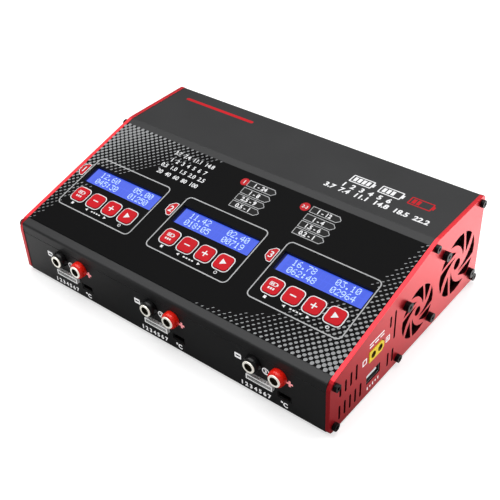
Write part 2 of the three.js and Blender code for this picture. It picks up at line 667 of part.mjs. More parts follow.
function balanceSocket(channel) {
  const x = socketX(channel) + BALANCE_SHIFT;
  const w = BALANCE_WIDTH / 2;
  const front = -HALF_DEPTH - BALANCE_PROUD;
  const back = front + BALANCE_LENGTH;
  const top = BALANCE_BOTTOM + BALANCE_HEIGHT;
  const body = block(x - w, x + w, front, back, BALANCE_BOTTOM, top);
  const cavity = block(x - w + BALANCE_WALL, x + w - BALANCE_WALL, front - 1, back - 2.5,
    BALANCE_BOTTOM + BALANCE_WALL, top - BALANCE_WALL);
  const slots = [];
  for (let slot = 0; slot < BALANCE_PINS - 1; slot++) {
    const middle = x + (slot - (BALANCE_PINS - 2) / 2) * BALANCE_PIN_PITCH;
    slots.push(block(middle - BALANCE_SLOT / 2, middle + BALANCE_SLOT / 2,
      front + 0.6, -HALF_DEPTH - 0.2, top - 2 * BALANCE_WALL, top + 1));
  }
  let solid = solidOf(body).subtract(solidOf(cavity));
  for (const slot of slots) solid = solid.subtract(solidOf(slot));
  const pinZ = BALANCE_BOTTOM + BALANCE_HEIGHT / 2;
  for (let pin = 0; pin < BALANCE_PINS; pin++) {
    const pinX = x + (pin - (BALANCE_PINS - 1) / 2) * BALANCE_PIN_PITCH;
    const half = BALANCE_PIN / 2;
    solid = solid.add(solidOf(block(pinX - half, pinX + half, front + 1.5, back - 2, pinZ - half, pinZ + half)));
  }
  const legs = block(x - w + 1, x + w - 1, back - 3, back - 1, CHARGE_BOARD_TOP + SEAT_GAP, BALANCE_BOTTOM + JOIN);
  return geometryOf(solid.add(solidOf(legs)));
}

function chargeBoard() {
  const top = CHARGE_BOARD_TOP;
  const back = CHARGE_BOARD_FRONT + CHARGE_BOARD_DEPTH;
  const halfWidth = CHARGE_BOARD_WIDTH / 2;
  const solids = [block(-halfWidth, halfWidth, CHARGE_BOARD_FRONT, back, top - BOARD_THICKNESS, top)];
  const cuts = [];
  const rimFront = -HALF_DEPTH - JACK_PROUD - SEAT_GAP - CONTACT_RIM;
  const tubeEnd = -HALF_DEPTH + WALL + JACK_SHANK_LENGTH + 3;
  for (let channel = 0; channel < CHANNELS; channel++) {
    for (const side of [-1, 1]) {
      const x = jackX(channel, side);
      solids.push(rodY(CONTACT_RIM_RADIUS, rimFront, rimFront + CONTACT_RIM, x, JACK_HEIGHT, 28));
      solids.push(rodY(CONTACT_RADIUS, rimFront, tubeEnd, x, JACK_HEIGHT, 20));
      solids.push(block(x - 2, x + 2, tubeEnd - 0.5, tubeEnd + CONTACT_TAIL, top - JOIN, JACK_HEIGHT + 2));
      cuts.push(rodY(CONTACT_BORE, rimFront - 1, tubeEnd - 1.5, x, JACK_HEIGHT, 16));
      cuts.push(rodY(CONTACT_MOUTH, rimFront - 1, rimFront + CONTACT_MOUTH_DEPTH, x, JACK_HEIGHT, 20));
    }
    const probe = socketX(channel) + PROBE_SHIFT;
    const w = PROBE_WIDTH / 2;
    const face = -HALF_DEPTH + PROBE_RECESS;
    solids.push(block(probe - w, probe + w, face, face + PROBE_LENGTH, top - JOIN, top + PROBE_HEIGHT));
    cuts.push(block(probe - w + PROBE_WALL, probe + w - PROBE_WALL, face - 1, face + PROBE_LENGTH - 2,
      top + PROBE_WALL, top + PROBE_HEIGHT - PROBE_WALL));
    solids.push(block(probe - 16, probe + 4, back - 26, back - 8, top - JOIN, top + 11));
  }
  return shaped(solids, cuts);
}

// ---------------------------------------------------------------- end plate connectors

function directCurrentInlet() {
  const outer = CASE_WIDTH / 2 + INLET_PROUD;
  const body = prismX(inletOutline(0), outer - INLET_LENGTH, outer);
  const flange = block(PLATE_INNER_X - 2.4, PLATE_INNER_X - SEAT_GAP,
    INLET_Y - INLET_WIDTH / 2 - 3, INLET_Y + INLET_WIDTH / 2 + 3, INLET_Z - INLET_HEIGHT / 2, INLET_Z + INLET_HEIGHT / 2);
  const bores = [-1, 1].map((side) =>
    rodX(INLET_BORE, outer - INLET_BORE_DEPTH, outer + 1, INLET_Y + (side * INLET_BORE_SPACING) / 2, INLET_Z));
  return shaped([body, flange], bores);
}

function usbPort() {
  const outer = CASE_WIDTH / 2 - USB_RECESS;
  const y0 = USB_Y - USB_WIDTH / 2;
  const y1 = USB_Y + USB_WIDTH / 2;
  const z0 = USB_Z - USB_HEIGHT / 2;
  const z1 = USB_Z + USB_HEIGHT / 2;
  const shell = block(outer - USB_LENGTH, outer, y0, y1, z0, z1);
  const cavity = block(outer - USB_LENGTH + 3, outer + 1, y0 + USB_SHELL, y1 - USB_SHELL, z0 + USB_SHELL, z1 - USB_SHELL);
  const tongue = block(outer - USB_LENGTH + 2, outer - USB_TONGUE_RECESS, y0 + 1.2, y1 - 1.2,
    USB_Z - USB_TONGUE / 2, USB_Z + USB_TONGUE / 2);
  return geometryOf(solidOf(shell).subtract(solidOf(cavity)).add(solidOf(tongue)));
}

function mainsOutline(grow, path = new THREE.Shape()) {
  const w = MAINS_WIDTH / 2 + grow;
  const h = MAINS_HEIGHT / 2 + grow;
  const c = MAINS_CHAMFER;
  const corners = [[-w, -h], [w, -h], [w, h - c], [w - c, h], [-w + c, h], [-w, h - c]];
  path.setFromPoints(corners.map(([u, v]) => new THREE.Vector2(MAINS_Y + u, MAINS_Z + v)));
  path.closePath();
  return path;
}

function mainsInlet() {
  const face = -CASE_WIDTH / 2 - SEAT_GAP - MAINS_FLANGE_THICKNESS;
  const back = face + MAINS_LENGTH;
  const flange = roundedRectangle(MAINS_Y, MAINS_Z, MAINS_WIDTH + 2 * MAINS_FLANGE,
    MAINS_HEIGHT + 2 * MAINS_FLANGE, 2);
  const body = prismX(mainsOutline(0), face + JOIN, back);
  const rim = prismX(flange, face, face + MAINS_FLANGE_THICKNESS);
  const cavity = prismX(mainsOutline(-MAINS_WALL), face - 1, back - 3);
  let solid = solidOf(body).add(solidOf(rim)).subtract(solidOf(cavity));
  for (const [y, z] of [[-MAINS_PIN_SPACING, -1.5], [0, 1.5], [MAINS_PIN_SPACING, -1.5]]) {
    const t = MAINS_PIN_THICKNESS / 2;
    const h = MAINS_PIN_HEIGHT / 2;
    solid = solid.add(solidOf(block(face + MAINS_PIN_RECESS, back - 2.5,
      MAINS_Y + y - t, MAINS_Y + y + t, MAINS_Z + z - h, MAINS_Z + z + h)));
  }
  const legs = block(back - 3, back - 0.5, MAINS_Y - 8, MAINS_Y + 8,
    POWER_BOARD_TOP + SEAT_GAP, MAINS_Z - MAINS_HEIGHT / 2 + JOIN);
  return geometryOf(solid.add(solidOf(legs)));
}

// ---------------------------------------------------------------- fans

function fanFrame(fan) {
  const outer = PLATE_INNER_X - SEAT_GAP;
  const inner = outer - fan.depth;
  const duct = fan.size / 2 - FAN_WALL;
  const square = prismX(roundedRectangle(fan.y, fan.z, fan.size, fan.size, 3), inner, outer);
  const bore = rodX(duct, inner + FAN_FLOOR, outer + 1, fan.y, fan.z, 40);
  const floorOpening = rodX(duct, inner - 1, inner + FAN_FLOOR + 0.1, fan.y, fan.z, 40);
  const motor = rodX(fan.hub, inner, inner + FAN_FLOOR, fan.y, fan.z, 24);
  const bearing = rodX(FAN_SHAFT + 1.6, inner + JOIN, inner + FAN_FLOOR + 2.5, fan.y, fan.z, 16);
  const half = fan.size / 2 - 0.5;
  const strut = (alongY) => block(inner, inner + FAN_FLOOR,
    fan.y - (alongY ? half : 1.2), fan.y + (alongY ? half : 1.2),
    fan.z - (alongY ? 1.2 : half), fan.z + (alongY ? 1.2 : half));
  let solid = solidOf(square).subtract(solidOf(bore)).subtract(solidOf(floorOpening));
  for (const piece of [motor, bearing, strut(true), strut(false)]) solid = solid.add(solidOf(piece));
  const cuts = [rodX(FAN_SHAFT + FAN_SHAFT_CLEARANCE + 0.1, inner + 0.6, outer, fan.y, fan.z)];
  for (const sideY of [-1, 1]) {
    for (const sideZ of [-1, 1]) {
      cuts.push(rodX(FAN_SCREW_RADIUS + SCREW_CLEARANCE, inner - 1, outer + 1,
        fan.y + (sideY * fan.holes) / 2, fan.z + (sideZ * fan.holes) / 2, 12));
    }
  }
  for (const piece of cuts) solid = solid.subtract(solidOf(piece));
  return geometryOf(solid);
}

function fanRotor(fan) {
  const outer = PLATE_INNER_X - SEAT_GAP - 0.8;
  const inner = PLATE_INNER_X - SEAT_GAP - fan.depth + FAN_FLOOR + 0.5;
  const cup = rodX(fan.hub, inner, outer, fan.y, fan.z, 28);
  const hollow = rodX(fan.hub - 1.5, inner - 1, outer - 1.5, fan.y, fan.z, 20);
  const shaft = rodX(FAN_SHAFT, inner - FAN_FLOOR + 0.4, outer - 0.5, fan.y, fan.z);
  let solid = solidOf(cup).subtract(solidOf(hollow)).add(solidOf(shaft));
  const tip = fan.size / 2 - FAN_WALL - FAN_TIP_GAP;
  const reach = (outer - inner - 0.6) / Math.sin((FAN_BLADE_TILT * Math.PI) / 180) - FAN_BLADE_THICKNESS * 1.4;
  for (let index = 0; index < FAN_BLADES; index++) {
    const length = tip - fan.hub + 0.6;
    const blade = new THREE.BoxGeometry(FAN_BLADE_THICKNESS, Math.min(reach, fan.hub * 1.15), length);
    blade.rotateZ(((90 - FAN_BLADE_TILT) * Math.PI) / 180);
    blade.translate(0, 0, fan.hub - 0.6 + length / 2);
    blade.rotateX((2 * Math.PI * index) / FAN_BLADES);
    blade.translate((inner + outer) / 2, fan.y, fan.z);
    solid = solid.add(solidOf(blade));
  }
  const rim = rodX(tip, inner + 0.1, outer - 0.1, fan.y, fan.z, 40);
  return geometryOf(solid.intersect(solidOf(rim).add(solidOf(shaft))));
}

// ---------------------------------------------------------------- fasteners and feet

function hexScrew(side, y, z, shaftRadius, headRadius, headHeight, length) {
  const face = CASE_WIDTH / 2 + SEAT_GAP;
  const head = rodX(headRadius, face, face + headHeight, y, z, 20);
  const shaft = rodX(shaftRadius, face - length, face + JOIN, y, z, 12);
  const socket = rodX(HEX_RADIUS, face + headHeight - HEX_DEPTH, face + headHeight + 1, y, z, 6);
  const screw = shaped([head, shaft], [socket]);
  return side > 0 ? screw : screw.rotateZ(Math.PI).translate(0, 2 * y, 0);
}

function foot(x, y) {
  const rubber = new THREE.CylinderGeometry(FOOT_RADIUS, FOOT_RADIUS - 0.8, FOOT_HEIGHT - SEAT_GAP, 24);
  return rubber.rotateX(Math.PI / 2).translate(x, y, -FOOT_HEIGHT + (FOOT_HEIGHT - SEAT_GAP) / 2);
}

// ---------------------------------------------------------------- power section

const COIL_X = -38;
const COIL_Y = POWER_BOARD_FRONT + 48;

function powerBoard() {
  const top = POWER_BOARD_TOP;
  const x0 = POWER_BOARD_X - POWER_BOARD_WIDTH / 2;
  const x1 = POWER_BOARD_X + POWER_BOARD_WIDTH / 2;
  const pieces = [block(x0, x1, POWER_BOARD_FRONT, POWER_BOARD_BACK, top - BOARD_THICKNESS, top)];
  for (let index = 0; index < 3; index++) {
    pieces.push(rodZ(9, top - JOIN, top + 30, x0 + 18 + index * 21, POWER_BOARD_FRONT + 14, 18));
  }
  const sinkX = POWER_BOARD_X + 30;
  pieces.push(block(sinkX, sinkX + 62, POWER_BOARD_FRONT + 20, POWER_BOARD_FRONT + 23, top - JOIN, top + 34));
  for (let fin = 0; fin < 7; fin++) {
    const x = sinkX + fin * 10;
    pieces.push(block(x, x + 1.6, POWER_BOARD_FRONT + 22.5, POWER_BOARD_FRONT + 40, top + 6, top + 34));
  }
  pieces.push(rodZ(11, top - JOIN, top + 14, POWER_BOARD_X + 72, POWER_BOARD_FRONT + 66, 20));
  return shaped(pieces);
}

function transformer() {
  const bottom = POWER_BOARD_TOP + SEAT_GAP;
  const core = block(COIL_X - 21, COIL_X + 21, COIL_Y - 17, COIL_Y + 17, bottom + 2, bottom + 34);
  const winding = rodZ(16, bottom, bottom + 36, COIL_X, COIL_Y, 24);
  const gaps = [-1, 1].map((side) =>
    block(COIL_X - 14, COIL_X + 14, COIL_Y + side * 17 - 5, COIL_Y + side * 17 + 5, bottom + 8, bottom + 28));
  return shaped([geometryOf(solidOf(core).subtract(solidOf(gaps[0])).subtract(solidOf(gaps[1]))), winding]);
}

// ---------------------------------------------------------------- assembly

const charger = new THREE.Group();
const body = new THREE.Group();
const slope = new THREE.Group();
charger.add(body);
body.add(slope);
slope.position.set(0, CREASE_Y, CASE_HEIGHT);
slope.rotation.x = SLOPE;

function addPiece(parent, name, geometry, material) {
  const mesh = new THREE.Mesh(geometry, material);
  mesh.name = name;
  parent.add(mesh);
}

const frontReach = HALF_DEPTH + JACK_PROUD + SEAT_GAP + CONTACT_RIM;
const backReach = HALF_DEPTH + PLATE_PROUD;
const leftReach = CASE_WIDTH / 2 + SEAT_GAP + Math.max(HEAD_HEIGHT, MAINS_FLANGE_THICKNESS);
const rightReach = CASE_WIDTH / 2 + SEAT_GAP + Math.max(HEAD_HEIGHT, FAN_HEAD_HEIGHT);
body.position.set((leftReach - rightReach) / 2, (frontReach - backReach) / 2, FOOT_HEIGHT);

addPiece(body, 'top_cover', topCover(), FINISH.shell);
addPiece(body, 'base_tray', baseTray(), FINISH.shell);
addPiece(body, 'right_end_plate', endPlate(1), FINISH.plate);
addPiece(body, 'left_end_plate', endPlate(-1), FINISH.plate);
addPiece(slope, 'face_label', faceLabel(), FINISH.label);
addPiece(slope, 'control_board', controlBoard(), FINISH.board);

const KEY_NAMES = ['mode', 'down', 'up', 'start'];
for (let channel = 0; channel < CHANNELS; channel++) {
  const number = channel + 1;
  addPiece(slope, `display_${number}`, displayModule(channel), FINISH.display);
  KEY_NAMES.forEach((name, key) => {
    addPiece(slope, `key_${name}_${number}`, keyCap(channel, key), FINISH.key);
  });
  addPiece(body, `jack_sleeve_black_${number}`, jackSleeve(channel, -1), FINISH.blackPlastic);
  addPiece(body, `jack_sleeve_red_${number}`, jackSleeve(channel, 1), FINISH.redPlastic);
  addPiece(body, `balance_socket_${number}`, balanceSocket(channel), FINISH.whitePlastic);
}

addPiece(body, 'charge_board', chargeBoard(), FINISH.board);
addPiece(body, 'power_board', powerBoard(), FINISH.board);
addPiece(body, 'transformer', transformer(), FINISH.core);
addPiece(body, 'dc_inlet', directCurrentInlet(), FINISH.yellowPlastic);
addPiece(body, 'usb_port', usbPort(), FINISH.steel);
addPiece(body, 'mains_inlet', mainsInlet(), FINISH.blackPlastic);

for (const [name, fan] of [['small', SMALL_FAN], ['large', LARGE_FAN]]) {
  addPiece(body, `fan_frame_${name}`, fanFrame(fan), FINISH.blackPlastic);
  addPiece(body, `fan_rotor_${name}`, fanRotor(fan), FINISH.blackPlastic);
  fanScrewPlaces(fan).forEach(([y, z], index) => {
    const length = PLATE_THICKNESS + SEAT_GAP + 8;
    const screw = hexScrew(1, y, z, FAN_SCREW_RADIUS, FAN_HEAD_RADIUS, FAN_HEAD_HEIGHT, length);
    addPiece(body, `fan_screw_${name}_${index + 1}`, screw, FINISH.blackSteel);
  });
}

for (const [name, side] of [['right', 1], ['left', -1]]) {
  SCREW_PLACES.forEach(({ y, z }, index) => {
    const length = PLATE_THICKNESS + SEAT_GAP + SCREW_GRIP;
    const screw = hexScrew(side, y, z, SCREW_RADIUS, HEAD_RADIUS, HEAD_HEIGHT, length);
    addPiece(body, `plate_screw_${name}_${index + 1}`, screw, FINISH.blackSteel);
  });
}

[['front_left', -1, -1], ['front_right', 1, -1], ['back_left', -1, 1], ['back_right', 1, 1]]
  .forEach(([name, sideX, sideY]) => {
    const x = sideX * (CASE_WIDTH / 2 - FOOT_INSET_X);
    const y = sideY * (HALF_DEPTH - FOOT_INSET_Y);
    addPiece(body, `foot_${name}`, foot(x, y), FINISH.rubber);
  });

export default charger;
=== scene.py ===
import math

import bpy
from mathutils import Matrix, Vector


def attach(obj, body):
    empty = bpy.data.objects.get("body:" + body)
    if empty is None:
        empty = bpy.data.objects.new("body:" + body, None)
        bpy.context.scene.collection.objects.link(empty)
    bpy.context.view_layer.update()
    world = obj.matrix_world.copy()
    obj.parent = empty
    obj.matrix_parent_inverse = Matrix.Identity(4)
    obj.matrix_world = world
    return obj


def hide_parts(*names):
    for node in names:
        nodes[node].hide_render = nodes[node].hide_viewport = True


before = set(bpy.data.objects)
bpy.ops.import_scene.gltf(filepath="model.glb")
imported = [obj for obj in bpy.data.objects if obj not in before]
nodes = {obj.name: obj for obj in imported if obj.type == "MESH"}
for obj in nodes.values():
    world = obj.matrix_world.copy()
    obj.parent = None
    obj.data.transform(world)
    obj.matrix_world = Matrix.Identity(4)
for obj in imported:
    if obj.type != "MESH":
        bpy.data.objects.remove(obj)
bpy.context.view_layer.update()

# ------------------------------------------------------------------ sizes, in millimetres
# The case's own frame: origin in the middle of the underside of the base tray.

CASE_SHIFT = Vector((-0.45, 2.65, 1.8))
CASE_WIDTH = 265.0
CASE_DEPTH = 177.0
CASE_HEIGHT = 70.4
FRONT_HEIGHT = 40.8
CREASE_Y = 27.7
SLOPE = math.atan2(CASE_HEIGHT - FRONT_HEIGHT, CREASE_Y + CASE_DEPTH / 2)
LABEL_LEVEL = 0.45
LABEL_TOP = 6.2
LABEL_BOTTOM = 113.2
LABEL_HALF_WIDTH = 129.3
CHANNEL_XS = (-86.2, -0.4, 85.4)
SOCKET_XS = (-81.9, 2.6, 87.1)
WINDOW_CENTRE = 59.4
WINDOW_WIDTH = 66.4
WINDOW_HEIGHT = 15.4
KEY_XS = (-23.1, -7.7, 7.7, 23.1)
KEY_S = 78.9
KEY_SIZE = 11.6
KEY_LEVEL = 1.1
KEY_NAMES = ("mode", "down", "up", "start")
JACK_HEIGHT = 27.4
JACK_SIDE = 9.5                  # a jack from the middle of its pair
JACK_REACH = 5.0                 # a contact's outside from the jack's axis
JACK_MOUTH = 3.02                # the opening in a contact
CONTACT_END = -66.0              # the contacts' back ends, along the depth
PROBE_SHIFT = 12.9               # a probe socket from the middle of the jack pair
PROBE_REACH = 5.2
PROBE_END = -78.0
CHIP_SHIFT = 6.9
CHIP_REACH = 10.2
BOARD_TOP = 9.3
BALANCE_SHIFT = -4.6             # a balance socket from the middle of the jack pair
BALANCE_FACE = -90.5
PIN_PITCH = 2.5
PIN_HEIGHT = 14.9
PIN_REACH = 0.34
PIN_FACE_AREA = 9e-6             # square metres, larger than any face of a pin
INLET = (-40.4, 30.9)
INLET_SIDE = 3.7                 # a bore from the middle of the inlet
INLET_REACH = 2.55
INLET_FACE = 132.6
USB = (-42.6, 13.2)
USB_TONGUE = (6.2, 0.95, 128.8)  # half width, half height and front end
USB_MOUTH = (6.9, 3.2, 131.8)
INK = 0.03                       # thickness of air and ink over a printed face

MM = 0.001


def to_row(matrix_mm):
    """A placement in case millimetres, as one in row metres."""
    return Matrix.Scale(MM, 4) @ Matrix.Translation(CASE_SHIFT) @ matrix_mm


def basis(origin, u, v, out):
    """A placement from its origin and its three directions."""
    m = Matrix.Identity(4)
    for column, vector in enumerate((u, v, out, origin)):
        m.col[column][:3] = vector
    return m


FACE = to_row(Matrix.Translation((0, CREASE_Y, CASE_HEIGHT)) @ Matrix.Rotation(SLOPE, 4, "X"))
FRONT = to_row(basis((0, -CASE_DEPTH / 2, 0), (1, 0, 0), (0, 0, 1), (0, -1, 0)))
RIGHT = to_row(basis((CASE_WIDTH / 2, 0, 0), (0, 1, 0), (0, 0, 1), (1, 0, 0)))
TOP = to_row(basis((0, 0, CASE_HEIGHT), (1, 0, 0), (0, 1, 0), (0, 0, 1)))
TO_CASE = to_row(Matrix.Identity(4)).inverted()


# ------------------------------------------------------------------ materials

def new_group(name, inputs, outputs):
    """An empty shader group with its sockets: returns the group, its input node and its output node."""
    group = bpy.data.node_groups.new(name, "ShaderNodeTree")
    for label, kind, value in inputs:
        socket = group.interface.new_socket(label, in_out="INPUT", socket_type=kind)
        socket.default_value = value
    for label, kind in outputs:
        group.interface.new_socket(label, in_out="OUTPUT", socket_type=kind)
    return group, group.nodes.new("NodeGroupInput"), group.nodes.new("NodeGroupOutput")


def math_node(tree, operation, a, b=None, clamp=False):
    """A sum on numbers or sockets: returns the result's socket."""
    node = tree.nodes.new("ShaderNodeMath")
    node.operation = operation
    node.use_clamp = clamp
    for index, value in enumerate((a, b)):
        if value is None:
            continue
        if isinstance(value, (int, float)):
            node.inputs[index].default_value = value
        else:
            tree.links.new(value, node.inputs[index])
    return node.outputs[0]


def make_surface_group():
    """Fine texture of a moulded, coated or brushed face: gives roughness, tone and a bump height."""
    group, source, sink = new_group("fine_surface", [
        ("Grain", "NodeSocketFloat", 900.0), ("Stretch", "NodeSocketVector", (1.0, 1.0, 1.0)),
        ("Roughness", "NodeSocketFloat", 0.5), ("Spread", "NodeSocketFloat", 0.1),
    ], [("Roughness", "NodeSocketFloat"), ("Tone", "NodeSocketFloat"), ("Height", "NodeSocketFloat")])
    links = group.links
    coordinates = group.nodes.new("ShaderNodeTexCoord")
    mapping = group.nodes.new("ShaderNodeVectorMath")
    mapping.operation = "MULTIPLY"
    links.new(coordinates.outputs["Object"], mapping.inputs[0])
    links.new(source.outputs["Stretch"], mapping.inputs[1])
    grain = group.nodes.new("ShaderNodeTexNoise")
    grain.inputs["Detail"].default_value = 3.0
    links.new(mapping.outputs[0], grain.inputs["Vector"])
    links.new(source.outputs["Grain"], grain.inputs["Scale"])
    cloud = group.nodes.new("ShaderNodeTexNoise")
    cloud.inputs["Scale"].default_value = 22.0
    cloud.inputs["Detail"].default_value = 4.0
    links.new(coordinates.outputs["Object"], cloud.inputs["Vector"])
    centred = math_node(group, "SUBTRACT", cloud.outputs[0], 0.5)
    fine = math_node(group, "SUBTRACT", grain.outputs[0], 0.5)
    both = math_node(group, "ADD", centred, fine)
    spread = math_node(group, "MULTIPLY", both, source.outputs["Spread"])
    uneven = math_node(group, "ADD", source.outputs["Roughness"], spread, clamp=True)
    links.new(uneven, sink.inputs["Roughness"])
    tone = math_node(group, "MULTIPLY", both, 0.35)
    links.new(math_node(group, "ADD", tone, 1.0), sink.inputs["Tone"])
    links.new(grain.outputs[0], sink.inputs["Height"])
    return group


def make_edge_group():
    """1 on sharp edges and 0 on flat faces, broken up where the edge is less rubbed. Its mask tints rubbed
    wear, and on the plates a painted highlight.
    """
    group, source, sink = new_group("edge_wear_and_highlight", [
        ("Radius", "NodeSocketFloat", 0.0004),
    ], [("Mask", "NodeSocketFloat"), ("Normal", "NodeSocketVector")])
    links = group.links
    bevel = group.nodes.new("ShaderNodeBevel")
    bevel.samples = 6
    links.new(source.outputs["Radius"], bevel.inputs["Radius"])
    geometry = group.nodes.new("ShaderNodeNewGeometry")
    dot = group.nodes.new("ShaderNodeVectorMath")
    dot.operation = "DOT_PRODUCT"
    links.new(bevel.outputs[0], dot.inputs[0])
    links.new(geometry.outputs["Normal"], dot.inputs[1])
    edge = math_node(group, "SUBTRACT", 1.0, dot.outputs["Value"])
    strong = math_node(group, "MULTIPLY", edge, 6.0, clamp=True)
    coordinates = group.nodes.new("ShaderNodeTexCoord")
    noise = group.nodes.new("ShaderNodeTexNoise")
    noise.inputs["Scale"].default_value = 160.0
    noise.inputs["Detail"].default_value = 5.0
    links.new(coordinates.outputs["Object"], noise.inputs["Vector"])
    patches = math_node(group, "SUBTRACT", noise.outputs[0], 0.38)
    broken = math_node(group, "MULTIPLY", patches, 5.0, clamp=True)
    links.new(math_node(group, "MULTIPLY", strong, broken), sink.inputs["Mask"])
    links.new(bevel.outputs[0], sink.inputs["Normal"])
    return group


SURFACE_GROUP = make_surface_group()
EDGE_GROUP = make_edge_group()


def material(name, color, roughness, metallic=0.0, grain=900.0, stretch=(1, 1, 1), spread=0.12, bump=0.02,
             edge=0.0004, wear_and_highlight=None, wear_and_highlight_amount=0.0, specular=0.5, coat=0.0, emission=None, strength=0.0):
    """A Principled finish with fine texture, soft edges and, where an edge tint is given, lighter edges:
    rubbed wear on the shell and screws, a painted highlight on the plates.
    """
    m = bpy.data.materials.new(name)
    m.use_nodes = True
    tree = m.node_tree
    shader = tree.nodes["Principled BSDF"]
    shader.inputs["Metallic"].default_value = metallic
    shader.inputs["Specular IOR Level"].default_value = specular
    shader.inputs["Coat Weight"].default_value = coat
    shader.inputs["Coat Roughness"].default_value = 0.3
    surface = tree.nodes.new("ShaderNodeGroup")
    surface.node_tree = SURFACE_GROUP
    surface.inputs["Grain"].default_value = grain
    surface.inputs["Stretch"].default_value = stretch
    surface.inputs["Roughness"].default_value = roughness
    surface.inputs["Spread"].default_value = spread
    tree.links.new(surface.outputs["Roughness"], shader.inputs["Roughness"])
    tint = tree.nodes.new("ShaderNodeMix")
    tint.data_type = "RGBA"
    tint.blend_type = "MULTIPLY"
    tint.inputs["Factor"].default_value = 1.0
    tint.inputs["A"].default_value = (*color, 1.0)
    tree.links.new(surface.outputs["Tone"], tint.inputs["B"])
    result = tint.outputs["Result"]
    normal = None
    if edge:
        edges = tree.nodes.new("ShaderNodeGroup")
        edges.node_tree = EDGE_GROUP
        edges.inputs["Radius"].default_value = edge
        normal = edges.outputs["Normal"]
        if wear_and_highlight:
            # Edge tint: rubbed wear, and on the plates a painted highlight.
            wear_and_highlight_mix = tree.nodes.new("ShaderNodeMix")
            wear_and_highlight_mix.data_type = "RGBA"
            amount = math_node(tree, "MULTIPLY", edges.outputs["Mask"], wear_and_highlight_amount)
            tree.links.new(amount, wear_and_highlight_mix.inputs["Factor"])
            tree.links.new(result, wear_and_highlight_mix.inputs["A"])
            wear_and_highlight_mix.inputs["B"].default_value = (*wear_and_highlight, 1.0)
            result = wear_and_highlight_mix.outputs["Result"]
    tree.links.new(result, shader.inputs["Base Color"])
    if bump:
        relief = tree.nodes.new("ShaderNodeBump")
        relief.inputs["Strength"].default_value = 0.5
        relief.inputs["Distance"].default_value = bump * MM
        tree.links.new(surface.outputs["Height"], relief.inputs["Height"])
        if normal:
            tree.links.new(normal, relief.inputs["Normal"])
        normal = relief.outputs[0]
    if normal:
        tree.links.new(normal, shader.inputs["Normal"])
    if emission:
        shader.inputs["Emission Color"].default_value = (*emission, 1.0)
        shader.inputs["Emission Strength"].default_value = strength
    return m


SHELL = material("shell_grey", (0.026, 0.0262, 0.027), 0.40, 0.10, grain=2600, bump=0.012, specular=0.17,
                 wear_and_highlight=(0.12, 0.12, 0.125), wear_and_highlight_amount=0.45)
# The plates' bright red edge tint is a painted highlight along their edges.
PLATE = material("plate_red", (0.66, 0.010, 0.020), 0.34, 0.7, grain=1800, bump=0.008, coat=0.2,
                 wear_and_highlight=(1.0, 0.05, 0.07), wear_and_highlight_amount=0.8)
# Painted shade for the walls of the plates' cut-outs.
PLATE_CUT_SHADE = material("plate_cut_painted_shade", (0.035, 0.003, 0.005), 0.5, 0.2, bump=0, edge=0, specular=0.2)
LABEL = material("label_black", (0.0034, 0.0034, 0.0036), 0.42, 0.0, grain=3000, bump=0.004, edge=0.0001,
                 specular=0.025)
KEY_RED = material("key_red", (0.50, 0.007, 0.014), 0.45, 0.0, grain=1500, bump=0.004, edge=0.0006,
                   specular=0.06)
BLACK = material("plastic_black", (0.0045, 0.0045, 0.005), 0.30, 0.0, bump=0.004, specular=0.3)
RED = material("plastic_red", (0.86, 0.012, 0.004), 0.26, 0.0, bump=0.004, specular=0.45)
WHITE = material("plastic_white", (0.86, 0.87, 0.87), 0.40, 0.0, bump=0.004, edge=0.0002)
# White plastic with a painted glow, for the balance sockets' front rims and the USB tongue.
WHITE_GLOW = material("white_painted_glow", (0.86, 0.87, 0.87), 0.40, 0.0, bump=0, edge=0,
                     emission=(0.95, 0.96, 0.96), strength=0.38)
# Yellow plastic with a painted glow: its emission is a painted highlight.
YELLOW_GLOW = material("plastic_yellow_painted_glow", (0.90, 0.68, 0.02), 0.40, 0.0, bump=0.006, specular=0.3,
                  emission=(0.9, 0.65, 0.02), strength=0.18)
STEEL = material("tinned_steel", (0.50, 0.51, 0.53), 0.30, 1.0, edge=0.0002)
# Painted shade for the inside of the USB shell.
STEEL_SHADE = material("shaded_steel", (0.030, 0.030, 0.032), 0.45, 0.6, bump=0, edge=0)
SCREW = material("screw_black", (0.004, 0.004, 0.0045), 0.30, 0.1, edge=0.0003, specular=0.12,
                 wear_and_highlight=(0.16, 0.16, 0.165), wear_and_highlight_amount=0.4)
# Contact metal with a painted glow: its emission is a painted highlight on the jack rims.
CONTACT_GLOW = material("contact_metal_painted_glow", (0.93, 0.91, 0.84), 0.40, 0.5, edge=0.0002,
                   emission=(0.95, 0.92, 0.82), strength=0.42)
# Painted shade for the inside of the jack mouths and the inlet's bores.
BORE_SHADE = material("bore_painted_shade", (0.16, 0.14, 0.10), 0.30, 0.9, bump=0, edge=0)
BRASS = material("inlet_brass", (0.80, 0.52, 0.12), 0.25, 1.0, edge=0)
PIN = material("pin_metal", (0.85, 0.82, 0.74), 0.25, 1.0, edge=0)
RUBBER = material("rubber_black", (0.010, 0.010, 0.010), 0.85, 0.0, bump=0.03)
BOARD = material("board_green", (0.008, 0.085, 0.030), 0.45, 0.0, edge=0)
CORE = material("core_ferrite", (0.10, 0.085, 0.05), 0.6, 0.0)
GLASS = material("display_blue", (0.010, 0.016, 0.10), 0.16, 0.0, bump=0, edge=0, spread=0.02, specular=0.15,
                 emission=(0.045, 0.110, 0.80), strength=0.90)
CELL = material("display_cell", (0.010, 0.016, 0.10), 0.16, 0.0, bump=0, edge=0, spread=0.02, specular=0.15,
                emission=(0.040, 0.100, 0.76), strength=0.90)
DOTS = material("display_dots", (0.2, 0.3, 0.5), 0.2, 0.0, bump=0, edge=0,
                emission=(0.40, 0.56, 1.0), strength=0.75)
